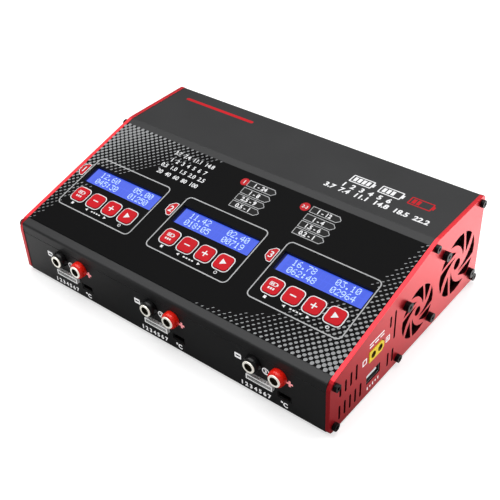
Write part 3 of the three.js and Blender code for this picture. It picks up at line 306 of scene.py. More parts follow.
# Painted shade: the dark rim of each display's recessed window.
DISPLAY_RIM_SHADE = material("display_rim_painted_shade", (0.004, 0.005, 0.03), 0.3, 0.0, bump=0, edge=0, specular=0.15,
                        emission=(0.004, 0.008, 0.08), strength=0.5)
INK_WHITE = material("ink_white", (0.72, 0.72, 0.73), 0.5, 0.0, bump=0, edge=0, specular=0.1)
# White ink with a painted glow: its emission is a painted highlight.
INK_WHITE_GLOW = material("ink_white_painted_glow", (0.80, 0.80, 0.81), 0.5, 0.0, bump=0, edge=0, specular=0.1,
                      emission=(0.95, 0.95, 0.96), strength=0.45)
INK_GREY = material("ink_grey", (0.40, 0.405, 0.41), 0.5, 0.0, bump=0, edge=0, specular=0.1)
INK_DOTS = material("ink_dots", (0.27, 0.275, 0.28), 0.5, 0.0, bump=0, edge=0, specular=0.1)
INK_RED = material("ink_red", (0.46, 0.008, 0.014), 0.45, 0.0, bump=0, edge=0, specular=0.1)
# Pink ink with a painted glow: its emission is a painted highlight.
INK_PINK_GLOW = material("ink_pink_painted_glow", (0.90, 0.42, 0.44), 0.5, 0.0, bump=0, edge=0, specular=0.1,
                    emission=(0.95, 0.30, 0.32), strength=0.45)
INK_BLACK = material("ink_black", (0.005, 0.005, 0.005), 0.45, 0.0, bump=0, edge=0, specular=0.1)


# ------------------------------------------------------------------ printed shapes

def rounded(u, v, width, height, radius, steps=5):
    """The outline of a rectangle with round corners, centred on u, v."""
    points = []
    for corner, (su, sv) in enumerate(((1, 1), (-1, 1), (-1, -1), (1, -1))):
        for step in range(steps + 1):
            angle = math.pi / 2 * (corner + step / steps)
            points.append((u + su * (width / 2 - radius) + radius * math.cos(angle),
                           v + sv * (height / 2 - radius) + radius * math.sin(angle)))
    return points


def chamfered(u, v, width, height, cuts):
    """A rectangle with cut corners. The cuts start at the upper right and go round to the left."""
    w, h = width / 2, height / 2
    a, b, c, d = cuts
    return [(u + w, v + h - a), (u + w - a, v + h), (u - w + b, v + h), (u - w, v + h - b),
            (u - w, v - h + c), (u - w + c, v - h), (u + w - d, v - h), (u + w, v - h + d)]


def disc(u, v, radius, sides=24):
    """The outline of a circle."""
    return [(u + radius * math.cos(2 * math.pi * i / sides), v + radius * math.sin(2 * math.pi * i / sides))
            for i in range(sides)]


def glyph_mesh(text, height, weight):
    """Plain figures and signs as flat polygons, centred on the origin."""
    curve = bpy.data.curves.new("figures", "FONT")
    curve.body = text
    curve.size = height / 0.7
    curve.resolution_u = 3
    curve.offset = weight * height
    curve.align_x = "CENTER"
    holder = bpy.data.objects.new("figures", curve)
    bpy.context.scene.collection.objects.link(holder)
    evaluated = holder.evaluated_get(bpy.context.evaluated_depsgraph_get())
    mesh = bpy.data.meshes.new_from_object(evaluated)
    points = [tuple(v.co) for v in mesh.vertices]
    faces = [tuple(p.vertices) for p in mesh.polygons]
    bpy.data.objects.remove(holder)
    bpy.data.curves.remove(curve)
    bpy.data.meshes.remove(mesh)
    return points, faces


class Print:
    """Flat shapes of one ink on one face of the case."""

    def __init__(self):
        self.points = []
        self.faces = []

    def fill(self, outline):
        start = len(self.points)
        self.points.extend(outline)
        self.faces.append(tuple(range(start, start + len(outline))))

    def ring(self, outer, inner):
        start = len(self.points)
        count = len(outer)
        self.points.extend(outer)
        self.points.extend(inner)
        for i in range(count):
            j = (i + 1) % count
            self.faces.append((start + i, start + j, start + count + j, start + count + i))

    def frame(self, u, v, width, height, radius, line):
        self.ring(rounded(u, v, width, height, radius),
                  rounded(u, v, width - 2 * line, height - 2 * line, max(radius - line, 0.01)))

    def circle(self, u, v, radius, line, sides=24):
        self.ring(disc(u, v, radius, sides), disc(u, v, radius - line, sides))

    def bar(self, u, v, width, height):
        self.fill([(u - width / 2, v - height / 2), (u + width / 2, v - height / 2),
                   (u + width / 2, v + height / 2), (u - width / 2, v + height / 2)])

    def text(self, text, u, v, height, weight=0.02):
        points, faces = glyph_mesh(text, height, weight)
        start = len(self.points)
        for x, y, _ in points:
            self.points.append((u + x, v + y - height / 2))
        self.faces.extend(tuple(start + i for i in face) for face in faces)

    def build(self, name, place, level, ink, slot, body="case"):
        mesh = bpy.data.meshes.new(name)
        mesh.from_pydata([place @ Vector((u, v, level)) for u, v in self.points], [], self.faces)
        mesh.materials.append(ink)
        mesh.validate()
        return add_piece(name, mesh, body)


def add_piece(name, mesh, body="case"):
    """An object that holds the mesh and moves with the body."""
    piece = bpy.data.objects.new(name, mesh)
    bpy.context.scene.collection.objects.link(piece)
    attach(piece, body)
    return piece


# ------------------------------------------------------------------ CAD nodes that keep their shape

PAINTED = (
    (("top_cover", "base_tray"), SHELL), (("face_label",), LABEL), (("key_",), KEY_RED),
    (("plate_screw", "fan_screw"), SCREW), (("foot",), RUBBER), (("jack_sleeve_red",), RED),
    (("jack_sleeve_black", "fan_frame", "fan_rotor", "mains_inlet"), BLACK),
    (("control_board", "power_board"), BOARD), (("transformer",), CORE),
)


def paint(name, finish):
    """Gives a CAD node one finish."""
    node = nodes[name]
    node.data.materials.clear()
    node.data.materials.append(finish)
    return node


for starts, finish in PAINTED:
    for name in nodes:
        if name.startswith(starts):
            paint(name, finish)


def face_height(y):
    """Height of the case's outline at a place along its depth."""
    return min(CASE_HEIGHT, CASE_HEIGHT - (CREASE_Y - y) * math.tan(SLOPE))


PLATE_MARGIN = 1.2               # no cut-out is nearer to the plate's outline
PLATE_CORNER_MARGIN = 2.4
PLATE_CORNER_Y = 78.0
PLATE_INSIDE_Y = 86.0


def paint_plate(name):
    """The walls of the cut-outs get painted shade, darker than the outline's edge."""
    plate = paint(name, PLATE)
    plate.data.materials.append(PLATE_CUT_SHADE)
    for polygon in plate.data.polygons:
        point = TO_CASE @ polygon.center
        margin = PLATE_CORNER_MARGIN if abs(point.y) > PLATE_CORNER_Y else PLATE_MARGIN
        inside = abs(point.y) < PLATE_INSIDE_Y and margin < point.z < face_height(point.y) - margin
        polygon.material_index = 1 if inside and abs(polygon.normal.x) < 0.5 else 0


paint_plate("left_end_plate")
paint_plate("right_end_plate")


def split_copy(name, finishes, choose):
    """A copy of a CAD node with a finish for each face, in place of the node."""
    mesh = nodes[name].data.copy()
    mesh.name = name + "_detail"
    mesh.materials.clear()
    for finish in finishes:
        mesh.materials.append(finish)
    for polygon in mesh.polygons:
        polygon.material_index = choose(TO_CASE @ polygon.center, polygon)
    piece = add_piece(name + "_detail", mesh)
    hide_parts(name)
    return piece


def charge_board_part(point, polygon):
    """0 board, 1 contact, which glows as a painted highlight, 2 probe socket or chip, 3 the contact's mouth,
    in painted shade.
    """
    for x in SOCKET_XS:
        for side in (-JACK_SIDE, JACK_SIDE):
            reach = math.hypot(point.x - x - side, point.z - JACK_HEIGHT)
            if reach < JACK_REACH and point.y < CONTACT_END:
                return 3 if reach < JACK_MOUTH else 1
        above = point.z - BOARD_TOP
        if abs(point.x - x - PROBE_SHIFT) < PROBE_REACH and point.y < PROBE_END and above > -0.1:
            return 2
        if abs(point.x - x - CHIP_SHIFT) < CHIP_REACH and above > 0.1:
            return 2
    return 0


split_copy("charge_board", (BOARD, CONTACT_GLOW, BLACK, BORE_SHADE), charge_board_part)


def balance_part(point, polygon):
    """0 housing, 1 pin, 2 the rim that faces forward, with a painted glow."""
    offset = min((point.x - x - BALANCE_SHIFT for x in SOCKET_XS), key=abs)
    off_pin = abs(offset - round(offset / PIN_PITCH) * PIN_PITCH)
    pin = off_pin < PIN_REACH and abs(point.z - PIN_HEIGHT) < PIN_REACH
    if pin and point.y > BALANCE_FACE and polygon.area < PIN_FACE_AREA:
        return 1
    return 2 if polygon.normal.y < -0.9 and point.y < BALANCE_FACE else 0


for number in (1, 2, 3):
    split_copy(f"balance_socket_{number}", (WHITE, PIN, WHITE_GLOW), balance_part)


def usb_part(point, polygon):
    """0 shell, 1 tongue, which glows as a painted highlight, 2 the inside of the shell, in painted shade."""
    for index, (width, height, front) in enumerate((USB_TONGUE, USB_MOUTH), 1):
        if abs(point.y - USB[0]) < width and abs(point.z - USB[1]) < height and point.x < front:
            return index
    return 0


split_copy("usb_port", (STEEL, WHITE_GLOW, STEEL_SHADE), usb_part)


def inlet_part(point, polygon):
    """0 housing, which glows as a painted highlight, 1 the wall of a bore, in painted shade, 2 its end,
    painted black for shade.
    """
    for side in (-INLET_SIDE, INLET_SIDE):
        reach = math.hypot(point.y - INLET[0] - side, point.z - INLET[1])
        if reach < INLET_REACH and point.x < INLET_FACE:
            return 1 if abs(polygon.normal.x) < 0.5 else 2
    return 0


split_copy("dc_inlet", (YELLOW_GLOW, BORE_SHADE, BLACK), inlet_part)


def tube(place, u, v, outer, inner, low, high, sides=20):
    """Points and faces of a short pipe that stands on a face."""
    points = []
    for level in (low, high):
        for radius in (outer, inner):
            points.extend(place @ Vector((a, b, level)) for a, b in disc(u, v, radius, sides))
    faces = []
    for i in range(sides):
        j = (i + 1) % sides
        a, b, c, d = 0, sides, 2 * sides, 3 * sides
        faces.append((a + i, a + j, c + j, c + i))
        faces.append((b + j, b + i, d + i, d + j))
        faces.append((c + i, c + j, d + j, d + i))
        faces.append((a + j, a + i, b + i, b + j))
    return points, faces


def block(place, u, v, width, height, low, high):
    """Points and faces of a box that stands on a face."""
    corners = [(u - width / 2, v - height / 2), (u + width / 2, v - height / 2),
               (u + width / 2, v + height / 2), (u - width / 2, v + height / 2)]
    points = [place @ Vector((a, b, level)) for level in (low, high) for a, b in corners]
    faces = [(3, 2, 1, 0), (4, 5, 6, 7)]
    faces.extend((i, (i + 1) % 4, 4 + (i + 1) % 4, 4 + i) for i in range(4))
    return points, faces


def join(shapes):
    """Points and faces of several shapes as one list each."""
    points, faces = [], []
    for more_points, more_faces in shapes:
        start = len(points)
        points.extend(more_points)
        faces.extend(tuple(start + i for i in face) for face in more_faces)
    return points, faces


def solid_piece(name, shapes, finish):
    """One piece from several shapes, on the case."""
    points, faces = join(shapes)
    mesh = bpy.data.meshes.new(name)
    mesh.from_pydata(points, [], faces)
    mesh.materials.append(finish)
    return add_piece(name, mesh)


solid_piece("inlet_contacts", [tube(RIGHT, INLET[0] + side, INLET[1], 2.3, 1.6, -8.0, -0.6)
                               for side in (-INLET_SIDE, INLET_SIDE)], BRASS)
# The tongue's tip glows: painted highlight.
solid_piece("usb_tongue_tip", [block(RIGHT, USB[0], USB[1] - 0.3, 10.8, 0.9, -4.0, -1.3)],
            WHITE_GLOW)


# ------------------------------------------------------------------ displays

FIGURES = {
    "0": "01110 10001 10011 10101 11001 10001 01110", "1": "00100 01100 00100 00100 00100 00100 01110",
    "2": "01110 10001 00001 00010 00100 01000 11111", "3": "11111 00010 00100 00010 00001 10001 01110",
    "4": "00010 00110 01010 10010 11111 00010 00010", "5": "11111 10000 11110 00001 00001 10001 01110",
    "6": "00110 01000 10000 11110 10001 10001 01110", "7": "11111 00001 00010 00100 01000 01000 01000",
    "8": "01110 10001 10001 01110 10001 10001 01110", "9": "01110 10001 10001 01111 00001 00010 01100",
    ".": "00000 00000 00000 00000 00000 01100 01100", ":": "00000 01100 01100 00000 01100 01100 00000",
    "-": "00000 00000 00000 11111 00000 00000 00000", "+": "00000 00100 00100 11111 00100 00100 00000",
}
COLUMNS = 16
READINGS = (("12.60    05.00", "045:30   01250"), ("11.42    02.40", "018:05   00719"),
            ("16.78    03.10", "062:48   02964"))
CELL_PITCH = (3.62, 6.3)
DOT_PITCH = (0.62, 0.70)
CELL_SIZE = (3.0, 5.4)
DOT_SIZE = (0.57, 0.65)
DISPLAY_LEVEL = -1.6

def draw_figure(ink, figure, u, v):
    """The lit dots of one figure in its cell of five by seven."""
    for r, bits in enumerate(FIGURES[figure].split()):
        for c, bit in enumerate(bits):
            if bit == "1":
                ink.bar(u + (c - 2) * DOT_PITCH[0], v + (3 - r) * DOT_PITCH[1] + 0.2, *DOT_SIZE)


def make_display(number, x, lines):
    """Glass, its rim of painted shade, the empty cells and the figures of one display."""
    paint(f"display_{number}", BLACK)
    glass, rim, cells, dots = Print(), Print(), Print(), Print()
    # The glass is set off to the right and towards the front, so the rim's painted shade shows mostly along
    # the top and the left.
    glass.bar(x + 0.9, -WINDOW_CENTRE - 0.2, WINDOW_WIDTH - 2.2, WINDOW_HEIGHT - 0.6)
    rim.bar(x, -WINDOW_CENTRE, WINDOW_WIDTH - 0.1, WINDOW_HEIGHT - 0.1)
    for row, line in enumerate(lines):
        v = -WINDOW_CENTRE + 0.3 + (0.5 - row) * CELL_PITCH[1]
        for column in range(COLUMNS):
            u = x + (column - (COLUMNS - 1) / 2) * CELL_PITCH[0] + 0.6
            cells.bar(u, v, *CELL_SIZE)
            figure = line[column - 1] if 0 < column <= len(line) else " "
            if figure in FIGURES:
                draw_figure(dots, figure, u, v)
    glass.build(f"display_glass_{number}", FACE, DISPLAY_LEVEL, GLASS, "display")
    rim.build(f"display_rim_{number}", FACE, DISPLAY_LEVEL - 0.05, DISPLAY_RIM_SHADE, "display")
    cells.build(f"display_cells_{number}", FACE, DISPLAY_LEVEL + INK, CELL, "display")
    dots.build(f"display_figures_{number}", FACE, DISPLAY_LEVEL + 2 * INK, DOTS, "display")


for number, (x, lines) in enumerate(zip(CHANNEL_XS, READINGS), 1):
    make_display(number, x, lines)


# ------------------------------------------------------------------ dotted pattern on the label

def make_dot_group():
    """Rows of dots that grow with their distance from a circle, and leave the display's window free."""
    group = bpy.data.node_groups.new("dot_field", "GeometryNodeTree")
    sockets = {}
    for label, kind, value in (
            ("Centre X", "NodeSocketFloat", 0.0), ("Centre Y", "NodeSocketFloat", 0.0),
            ("Radius", "NodeSocketFloat", 100.0), ("Falloff", "NodeSocketFloat", 40.0),
            ("Side", "NodeSocketFloat", 1.0), ("Window X", "NodeSocketFloat", 0.0),
            ("Pitch", "NodeSocketFloat", 4.6), ("Turn", "NodeSocketFloat", 0.0)):
        socket = group.interface.new_socket(label, in_out="INPUT", socket_type=kind)
        socket.default_value = value
        sockets[label] = socket.identifier
    group.interface.new_socket("Geometry", in_out="OUTPUT", socket_type="NodeSocketGeometry")
    source = group.nodes.new("NodeGroupInput")
    sink = group.nodes.new("NodeGroupOutput")
    new, link = group.nodes.new, group.links.new

    def calc(operation, a, b=None, clamp=False):
        return math_node(group, operation, a, b, clamp)

    half_width = LABEL_HALF_WIDTH - 0.8
    height = LABEL_BOTTOM - LABEL_TOP - 1.6
    middle = -(LABEL_TOP + LABEL_BOTTOM) / 2
    grid = new("GeometryNodeMeshGrid")
    grid.inputs["Size X"].default_value = 2 * half_width
    grid.inputs["Size Y"].default_value = height
    columns = calc("ROUND", calc("DIVIDE", 2 * half_width, source.outputs["Pitch"]))
    rows = calc("ROUND", calc("DIVIDE", height, calc("MULTIPLY", source.outputs["Pitch"], 0.5)))
    link(columns, grid.inputs["Vertices X"])
    link(rows, grid.inputs["Vertices Y"])
    index = new("GeometryNodeInputIndex")
    odd = calc("MODULO", calc("FLOOR", calc("MODULO", index.outputs[0], rows)), 2.0)
    shift = calc("MULTIPLY", calc("MULTIPLY", odd, source.outputs["Pitch"]), 0.5)
    offset = new("ShaderNodeCombineXYZ")
    link(shift, offset.inputs["X"])
    offset.inputs["Y"].default_value = middle
    place = new("GeometryNodeSetPosition")
    link(grid.outputs["Mesh"], place.inputs["Geometry"])
    link(offset.outputs[0], place.inputs["Offset"])

    position = new("GeometryNodeInputPosition")
    split = new("ShaderNodeSeparateXYZ")
    link(position.outputs[0], split.inputs[0])
    x, y = split.outputs["X"], split.outputs["Y"]
    dx = calc("SUBTRACT", x, source.outputs["Centre X"])
    dy = calc("SUBTRACT", y, source.outputs["Centre Y"])
    reach = calc("SQRT", calc("ADD", calc("MULTIPLY", dx, dx), calc("MULTIPLY", dy, dy)))
    beyond = calc("DIVIDE", calc("SUBTRACT", reach, source.outputs["Radius"]), source.outputs["Falloff"])
    wrong_side = calc("LESS_THAN", calc("MULTIPLY", x, source.outputs["Side"]), 20.0)
    inside = calc("LESS_THAN", beyond, 0.0)
    off_edge = calc("GREATER_THAN", calc("ABSOLUTE", x), half_width)
    near_x = calc("LESS_THAN", calc("ABSOLUTE", calc("SUBTRACT", x, source.outputs["Window X"])),
                  WINDOW_WIDTH / 2 + 1.2)
    near_y = calc("LESS_THAN", calc("ABSOLUTE", calc("ADD", y, WINDOW_CENTRE)), WINDOW_HEIGHT / 2 + 1.2)
    window = calc("MULTIPLY", near_x, near_y)
    drop = calc("ADD", calc("ADD", wrong_side, inside), calc("ADD", off_edge, window))
    remove = new("GeometryNodeDeleteGeometry")
    remove.domain = "POINT"
    link(place.outputs[0], remove.inputs["Geometry"])
    link(calc("GREATER_THAN", drop, 0.5), remove.inputs["Selection"])

    dot = new("GeometryNodeMeshCircle")
    dot.fill_type = "NGON"
    dot.inputs["Vertices"].default_value = 10
    dot.inputs["Radius"].default_value = 1.0
    grown = calc("MULTIPLY", beyond, 1.0, clamp=True)
    scale = new("ShaderNodeCombineXYZ")
    link(calc("ADD", 0.95, calc("MULTIPLY", grown, 0.50)), scale.inputs["X"])
    link(calc("ADD", 0.28, calc("MULTIPLY", grown, 1.12)), scale.inputs["Y"])
    scale.inputs["Z"].default_value = 1.0
    turn = new("ShaderNodeCombineXYZ")
    link(source.outputs["Turn"], turn.inputs["Z"])
    copies = new("GeometryNodeInstanceOnPoints")
    link(remove.outputs[0], copies.inputs["Points"])
    link(dot.outputs["Mesh"], copies.inputs["Instance"])
    link(turn.outputs[0], copies.inputs["Rotation"])
    link(scale.outputs[0], copies.inputs["Scale"])
    real = new("GeometryNodeRealizeInstances")
    link(copies.outputs[0], real.inputs[0])
    finish = new("GeometryNodeSetMaterial")
    finish.inputs["Material"].default_value = INK_DOTS
    link(real.outputs[0], finish.inputs["Geometry"])
    link(finish.outputs[0], sink.inputs[0])
    return group, sockets


DOT_GROUP, DOT_SOCKETS = make_dot_group()


def dot_field(name, **values):
    """One field of dots as a plain mesh on the label."""
    holder = bpy.data.objects.new(name + "_rule", bpy.data.meshes.new(name + "_rule"))
    bpy.context.scene.collection.objects.link(holder)
    rule = holder.modifiers.new("dots", "NODES")
    rule.node_group = DOT_GROUP
    for label, value in values.items():
        rule[DOT_SOCKETS[label.replace("_", " ")]] = float(value)
    holder.update_tag()
    evaluated = holder.evaluated_get(bpy.context.evaluated_depsgraph_get())
    mesh = bpy.data.meshes.new_from_object(evaluated)
    mesh.name = name
    bpy.data.objects.remove(holder)
    mesh.transform(FACE @ Matrix.Translation((0, 0, LABEL_LEVEL + INK / 2)))
    return add_piece(name, mesh)


dot_field("label_dots_left", Centre_X=30, Centre_Y=-157, Radius=163, Falloff=44, Side=-1,
          Window_X=CHANNEL_XS[0], Pitch=4.4, Turn=0.75)
dot_field("label_dots_right", Centre_X=12.4, Centre_Y=0, Radius=113, Falloff=46, Side=1,
          Window_X=CHANNEL_XS[2], Pitch=4.5, Turn=0.6)


# ------------------------------------------------------------------ print on the sloping face

FRAME_WIDTH = 70.2
FRAME_HEIGHT = 49.0
FRAME_S = 67.9
BADGE_S = 58.5
CAPTION_S = 87.6


def badge_outline(u, width, height, small, large):
    return chamfered(u, -BADGE_S, width, height, (small, large, large, small))


def print_channel(number, x):
    """Frame, number badge, key rings and captions of one channel."""
    grey.frame(x - 0.3, -FRAME_S, FRAME_WIDTH, FRAME_HEIGHT, 4.0, 0.8)
    badge = x - 0.3 - FRAME_WIDTH / 2 - 4.2
    white.ring(badge_outline(badge, 6.6, 11.8, 0.6, 3.4), badge_outline(badge, 5.6, 10.8, 0.4, 3.0))
    red.fill(badge_outline(badge, 5.7, 10.9, 0.4, 3.0))
    white.text(str(number), badge + 0.2, -BADGE_S, 5.0)
    for offset in KEY_XS:
        white.ring(rounded(x + offset, -KEY_S, KEY_SIZE + 1.9, KEY_SIZE + 1.9, 3.8),
                   rounded(x + offset, -KEY_S, KEY_SIZE + 0.5, KEY_SIZE + 0.5, 3.1))
    for side in (-1, 1):
        base = x + side * 7.9
        tip = x + side * 10.1
        white.fill([(tip, -CAPTION_S), (base, -CAPTION_S + 1.1), (base, -CAPTION_S - 1.1)][::side])
        for step in range(2):
            white.bar(x + side * (1.2 + 2.4 * step), -CAPTION_S, 1.5, 1.0)
    white.bar(x + KEY_XS[0], -CAPTION_S, 2.0, 2.0)
    white.circle(x + KEY_XS[3], -CAPTION_S, 1.2, 0.4)


white, grey, red, backing = Print(), Print(), Print(), Print()
for number, x in enumerate(CHANNEL_XS, 1):
    print_channel(number, x)

ROW_S = (14.8, 21.8, 28.3, 34.8)
TABLE = ((-5.9, 17.7), (46.7, 70.1))
FIGURE_ROWS = (("1 - 24", "1 - 12"), ("1 - 8", "1 - 4"), ("2.5 - 9", "1.5 - 6"), ("0.5 - 1", "0.2 - 1"))
SCALE_ROWS = ("3.7  7.4  11.1  14.8", "1  2  3  4  5  6  7", "0.5  1.0  1.5  2.0  2.5", "20  40  60  80  100")
PILL_HALF = 2.85
PILL_TIP = 2.4
PILL_LINE = 0.5


def pill_outline(u0, u1, v, inset):
    """A box with its right corners cut, drawn in by the inset."""
    h = PILL_HALF - inset
    end = u1 - inset
    corner = u1 - PILL_TIP - 0.4 * inset
    drop = PILL_HALF - PILL_TIP - 0.4 * inset
    return [(u0 + inset, v - h), (corner, v - h), (end, v - drop), (end, v + drop), (corner, v + h),
            (u0 + inset, v + h)]


for s, scale, figures in zip(ROW_S, SCALE_ROWS, FIGURE_ROWS):
    white.text(scale, -55.0, -s + 0.6, 3.4, 0.03)
    for (u0, u1), figure in zip(TABLE, figures):
        backing.fill(pill_outline(u0, u1, -s, 0))
        grey.ring(pill_outline(u0, u1, -s, 0), pill_outline(u0, u1, -s, PILL_LINE))
        white.text(figure, (u0 + u1) / 2 - 1.2, -s, 3.3, 0.05)
red.fill(disc(-8.6, -15.0, 3.3))
red.fill(disc(42.0, -15.0, 3.6))
white.text("1", -8.8, -15.0, 3.2)
white.text("2-3", 42.0, -15.0, 2.4)
backing.build("label_pills", FACE, LABEL_LEVEL + INK, INK_BLACK, "label")
grey.build("label_print_grey", FACE, LABEL_LEVEL + 1.4 * INK, INK_GREY, "label")
red.build("label_print_red", FACE, LABEL_LEVEL + 1.2 * INK, INK_RED, "key")
white.build("label_print_white", FACE, LABEL_LEVEL + 2 * INK, INK_WHITE, "label")

def draw_key_sign(sign, name, u, v):
    """Battery and dots, minus, plus or a start arrow."""
    if name == "mode":
        sign.frame(u - 0.3, v + 1.5, 5.4, 2.8, 0.5, 0.45)
        sign.bar(u + 2.75, v + 1.5, 0.6, 1.3)
        sign.bar(u - 1.7, v + 1.5, 1.0, 1.3)
        sign.bar(u - 0.3, v + 1.5, 1.0, 1.3)
        for step in (-1.8, 0, 1.8):
            sign.bar(u + step, v - 2.0, 1.2, 1.5)
    elif name == "down":
        sign.bar(u, v, 4.6, 0.9)
    elif name == "up":
        sign.bar(u - 1.4, v, 1.9, 0.9)
        sign.bar(u + 1.4, v, 1.9, 0.9)
        sign.bar(u, v, 0.9, 4.6)
    else:
        sign.fill([(u - 1.8, v - 2.4), (u + 2.4, v), (u - 1.8, v + 2.4)])


for number, x in enumerate(CHANNEL_XS, 1):
    for name, offset in zip(KEY_NAMES, KEY_XS):
        sign = Print()
        draw_key_sign(sign, name, x + offset, -KEY_S)
        key = f"{name}_{number}"
        sign.build(f"key_sign_{key}", FACE, KEY_LEVEL + INK, INK_WHITE, "key", f"key_{key}")


# ------------------------------------------------------------------ print on the top, front and right faces

def battery_sign(ink, u, v, width, height, line, charge):
    """A battery's outline with some of its four cells filled."""
    ink.frame(u, v, width, height, 0.8, line)
    ink.bar(u + width / 2 + 0.7, v, 1.4, height * 0.45)
    cell = (width - 4 * line) / 4
    for step in range(charge):
        ink.bar(u - width / 2 + 2 * line + cell * (step + 0.5), v, cell * 0.72, height - 4 * line)


title, title_red = Print(), Print()
for step, charge in enumerate((4, 3, 2)):
    battery_sign((title, title, title_red)[step], 59 + 22.5 * step, 55.0, 17, 8.5, 0.9, charge)
title.text("1  2  3  4  5  6", 68.0, 46.0, 4.6, 0.05)
title.text("3.7  7.4  11.1  14.8  18.5  22.2", 79.0, 39.4, 4.6, 0.05)
title.build("top_signs", TOP, INK, INK_WHITE, "label")
title_red.build("top_sign_red", TOP, INK, INK_RED, "key")
stripe = Print()
stripe.fill(rounded(-83, 74.4, 66, 3.0, 1.45))
stripe.build("top_stripe", TOP, INK, INK_RED, "key")

signs, pink, shade = Print(), Print(), Print()
for number, x in enumerate(SOCKET_XS, 1):
    signs.fill(rounded(x - 22.0, 25.5, 5.0, 4.2, 0.5))
    shade.bar(x - 22.0, 25.5, 3.2, 1.1)
    signs.circle(x - 0.8, 24.8, 2.7, 0.7)
    signs.text(str(number), x - 0.8, 24.8, 3.0, 0.04)
    pink.bar(x + 16.9, 25.2, 4.6, 1.5)
    pink.bar(x + 16.9, 26.75, 1.5, 1.6)
    pink.bar(x + 16.9, 23.65, 1.5, 1.6)
    for pin in range(7):
        signs.text(str(pin + 1), x - 9.1 + (pin - 3) * 3.5, 4.7, 3.2, 0.06)
    signs.text("\u00b0C", x + 12.6, 4.9, 3.4, 0.06)
# White print on the front, with a painted glow.
signs.build("front_signs", FRONT, INK, INK_WHITE_GLOW, "label")
shade.build("front_minus_signs", FRONT, 2 * INK, INK_BLACK, "label")
# Pink plus signs, with a painted glow.
pink.build("front_plus_signs", FRONT, INK, INK_PINK_GLOW, "label")

marks = Print()
for y, plus in ((-53.2, False), (-27.8, True)):
    marks.frame(y, 31.0, 4.6, 4.6, 0.3, 0.85)
    if plus:
        marks.bar(y, 31.0, 1.5, 1.5)
marks.bar(INLET[0], 41.2, 16.0, 1.1)
for step in (-1, 0, 1):
    marks.bar(INLET[0] + 5.9 * step, 38.8, 4.2, 1.1)
for step in range(5):
    marks.bar(USB[0] - 6 + 3.0 * step, 5.2, 1.1, 2.4 if step % 2 == 0 else 1.6)
# White print on the right plate, with a painted glow.
marks.build("right_signs", RIGHT, INK, INK_WHITE_GLOW, "label")


# ------------------------------------------------------------------ studio

def stage_mesh(name, points, faces, finish):
    mesh = bpy.data.meshes.new(name)
    mesh.from_pydata(points, [], faces)
    mesh.materials.append(finish)
    thing = bpy.data.objects.new(name, mesh)
    bpy.context.scene.collection.objects.link(thing)
    return thing


FLOOR_SEEN = 0.55                # the floor's tone as the camera sees it, with the glow below
FLOOR_GLOW = 0.62
FLOOR_BOUNCE = 0.48              # its tone for the light that it gives back
FLOOR_REFLECTED = 0.14           # its tone in reflections, away from the cards
CARD_GLOW = 0.5


def floor_material():
    """Pale floor. In reflections it is dark, but for a bright card on the left and one at the back."""
    finish = bpy.data.materials.new("floor_white")
    finish.use_nodes = True
    tree = finish.node_tree
    shader = tree.nodes["Principled BSDF"]
    shader.inputs["Roughness"].default_value = 0.8
    shader.inputs["Specular IOR Level"].default_value = 0.1
    coordinates = tree.nodes.new("ShaderNodeTexCoord")
    split = tree.nodes.new("ShaderNodeSeparateXYZ")
    tree.links.new(coordinates.outputs["Object"], split.inputs[0])

    def ramp(value, start, end, low, high):
        node = tree.nodes.new("ShaderNodeMapRange")
        node.interpolation_type = "SMOOTHSTEP"
        tree.links.new(value, node.inputs["Value"])
        for index, number in enumerate((start, end, low, high), 1):
            node.inputs[index].default_value = number
        return node.outputs[0]

    left_card = ramp(split.outputs["X"], -0.04, -0.20, 0.0, 0.62)
    back_card = ramp(split.outputs["Y"], -0.11, 0.12, 0.0, 1.0)
    right_side = ramp(split.outputs["X"], 0.10, 0.14, 0.0, 1.0)
    cards = math_node(tree, "MAXIMUM", left_card, math_node(tree, "MULTIPLY", back_card, right_side))
    glossy = math_node(tree, "ADD", cards, FLOOR_REFLECTED)
    path = tree.nodes.new("ShaderNodeLightPath")
    pick = tree.nodes.new("ShaderNodeMix")
    tree.links.new(path.outputs["Is Glossy Ray"], pick.inputs["Factor"])
    seen = tree.nodes.new("ShaderNodeMix")
    tree.links.new(path.outputs["Is Camera Ray"], seen.inputs["Factor"])
    seen.inputs["A"].default_value = FLOOR_BOUNCE
    seen.inputs["B"].default_value = FLOOR_SEEN
    tree.links.new(seen.outputs["Result"], pick.inputs["A"])
    tree.links.new(glossy, pick.inputs["B"])
    tree.links.new(pick.outputs["Result"], shader.inputs["Base Color"])
    shader.inputs["Emission Color"].default_value = (1, 1, 1, 1)
    glow = math_node(tree, "MULTIPLY", path.outputs["Is Camera Ray"], FLOOR_GLOW)
    card_light = math_node(tree, "MULTIPLY", cards, CARD_GLOW)
    card_glow = math_node(tree, "MULTIPLY", path.outputs["Is Glossy Ray"], card_light)
    tree.links.new(math_node(tree, "ADD", glow, card_glow), shader.inputs["Emission Strength"])
    return finish


stage_mesh("floor", [(-4, -4, 0), (4, -4, 0), (4, 4, 0), (-4, 4, 0)], [(0, 1, 2, 3)], floor_material())

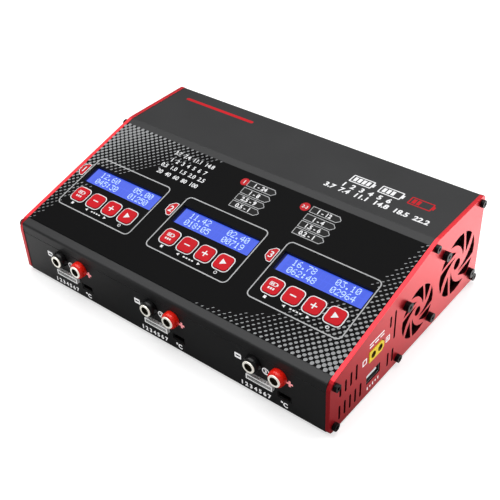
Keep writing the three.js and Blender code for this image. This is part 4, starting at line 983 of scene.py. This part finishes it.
AMBIENT = 0.29
REFLECTED = 0.30
world = bpy.data.worlds.new("studio")
bpy.context.scene.world = world
world.use_nodes = True
sky = world.node_tree
path = sky.nodes.new("ShaderNodeLightPath")
seen = sky.nodes.new("ShaderNodeMix")
sky.links.new(path.outputs["Is Camera Ray"], seen.inputs["Factor"])
sky.links.new(seen.outputs["Result"], sky.nodes["Background"].inputs["Strength"])
seen.inputs["B"].default_value = 1.0
shine = sky.nodes.new("ShaderNodeMix")
sky.links.new(path.outputs["Is Glossy Ray"], shine.inputs["Factor"])
shine.inputs["A"].default_value = AMBIENT
shine.inputs["B"].default_value = REFLECTED
sky.links.new(shine.outputs["Result"], seen.inputs["A"])
sky.nodes["Background"].inputs["Color"].default_value = (1, 1, 1, 1)


def area_light(name, place, target, size, power):
    """A soft lamp that the camera doesn't see. Places are in metres."""
    data = bpy.data.lights.new(name, "AREA")
    data.shape = "RECTANGLE"
    data.size, data.size_y = size
    data.energy = power
    lamp = bpy.data.objects.new(name, data)
    bpy.context.scene.collection.objects.link(lamp)
    lamp.location = place
    lamp.rotation_euler = (Vector(target) - Vector(place)).to_track_quat("-Z", "Y").to_euler()
    lamp.visible_camera = False
    return lamp


area_light("overhead", (-0.25, 0.25, 1.5), (0, 0, 0), (1.8, 1.8), 34)
area_light("right_back", (0.9, 0.7, 0.45), (0.13, 0.05, 0.03), (0.5, 0.5), 4.5)

CAMERA_PLACE = Vector((323.5, -377.4, 409.4))
CAMERA_LENS = 64.69
CAMERA_TURN = (40.26, 38.08, -2.81)    # degrees: to the right, up and rolled


def add_camera():
    """A camera in front of the right corner, looking down on the case."""
    azimuth, elevation, roll = (math.radians(angle) for angle in CAMERA_TURN)
    back = Vector((math.sin(azimuth) * math.cos(elevation), -math.cos(azimuth) * math.cos(elevation),
                   math.sin(elevation)))
    right = Vector((math.cos(azimuth), math.sin(azimuth), 0))
    up = back.cross(right)
    rolled_right = math.cos(roll) * right + math.sin(roll) * up
    rolled_up = -math.sin(roll) * right + math.cos(roll) * up
    data = bpy.data.cameras.new("camera")
    data.sensor_width = 36
    data.lens = CAMERA_LENS
    data.clip_start = 0.01
    camera = bpy.data.objects.new("camera", data)
    camera.matrix_world = basis((CAMERA_PLACE + CASE_SHIFT) * MM, rolled_right, rolled_up, back)
    bpy.context.scene.collection.objects.link(camera)
    bpy.context.scene.camera = camera


add_camera()
bpy.context.scene.view_settings.view_transform = "Standard"
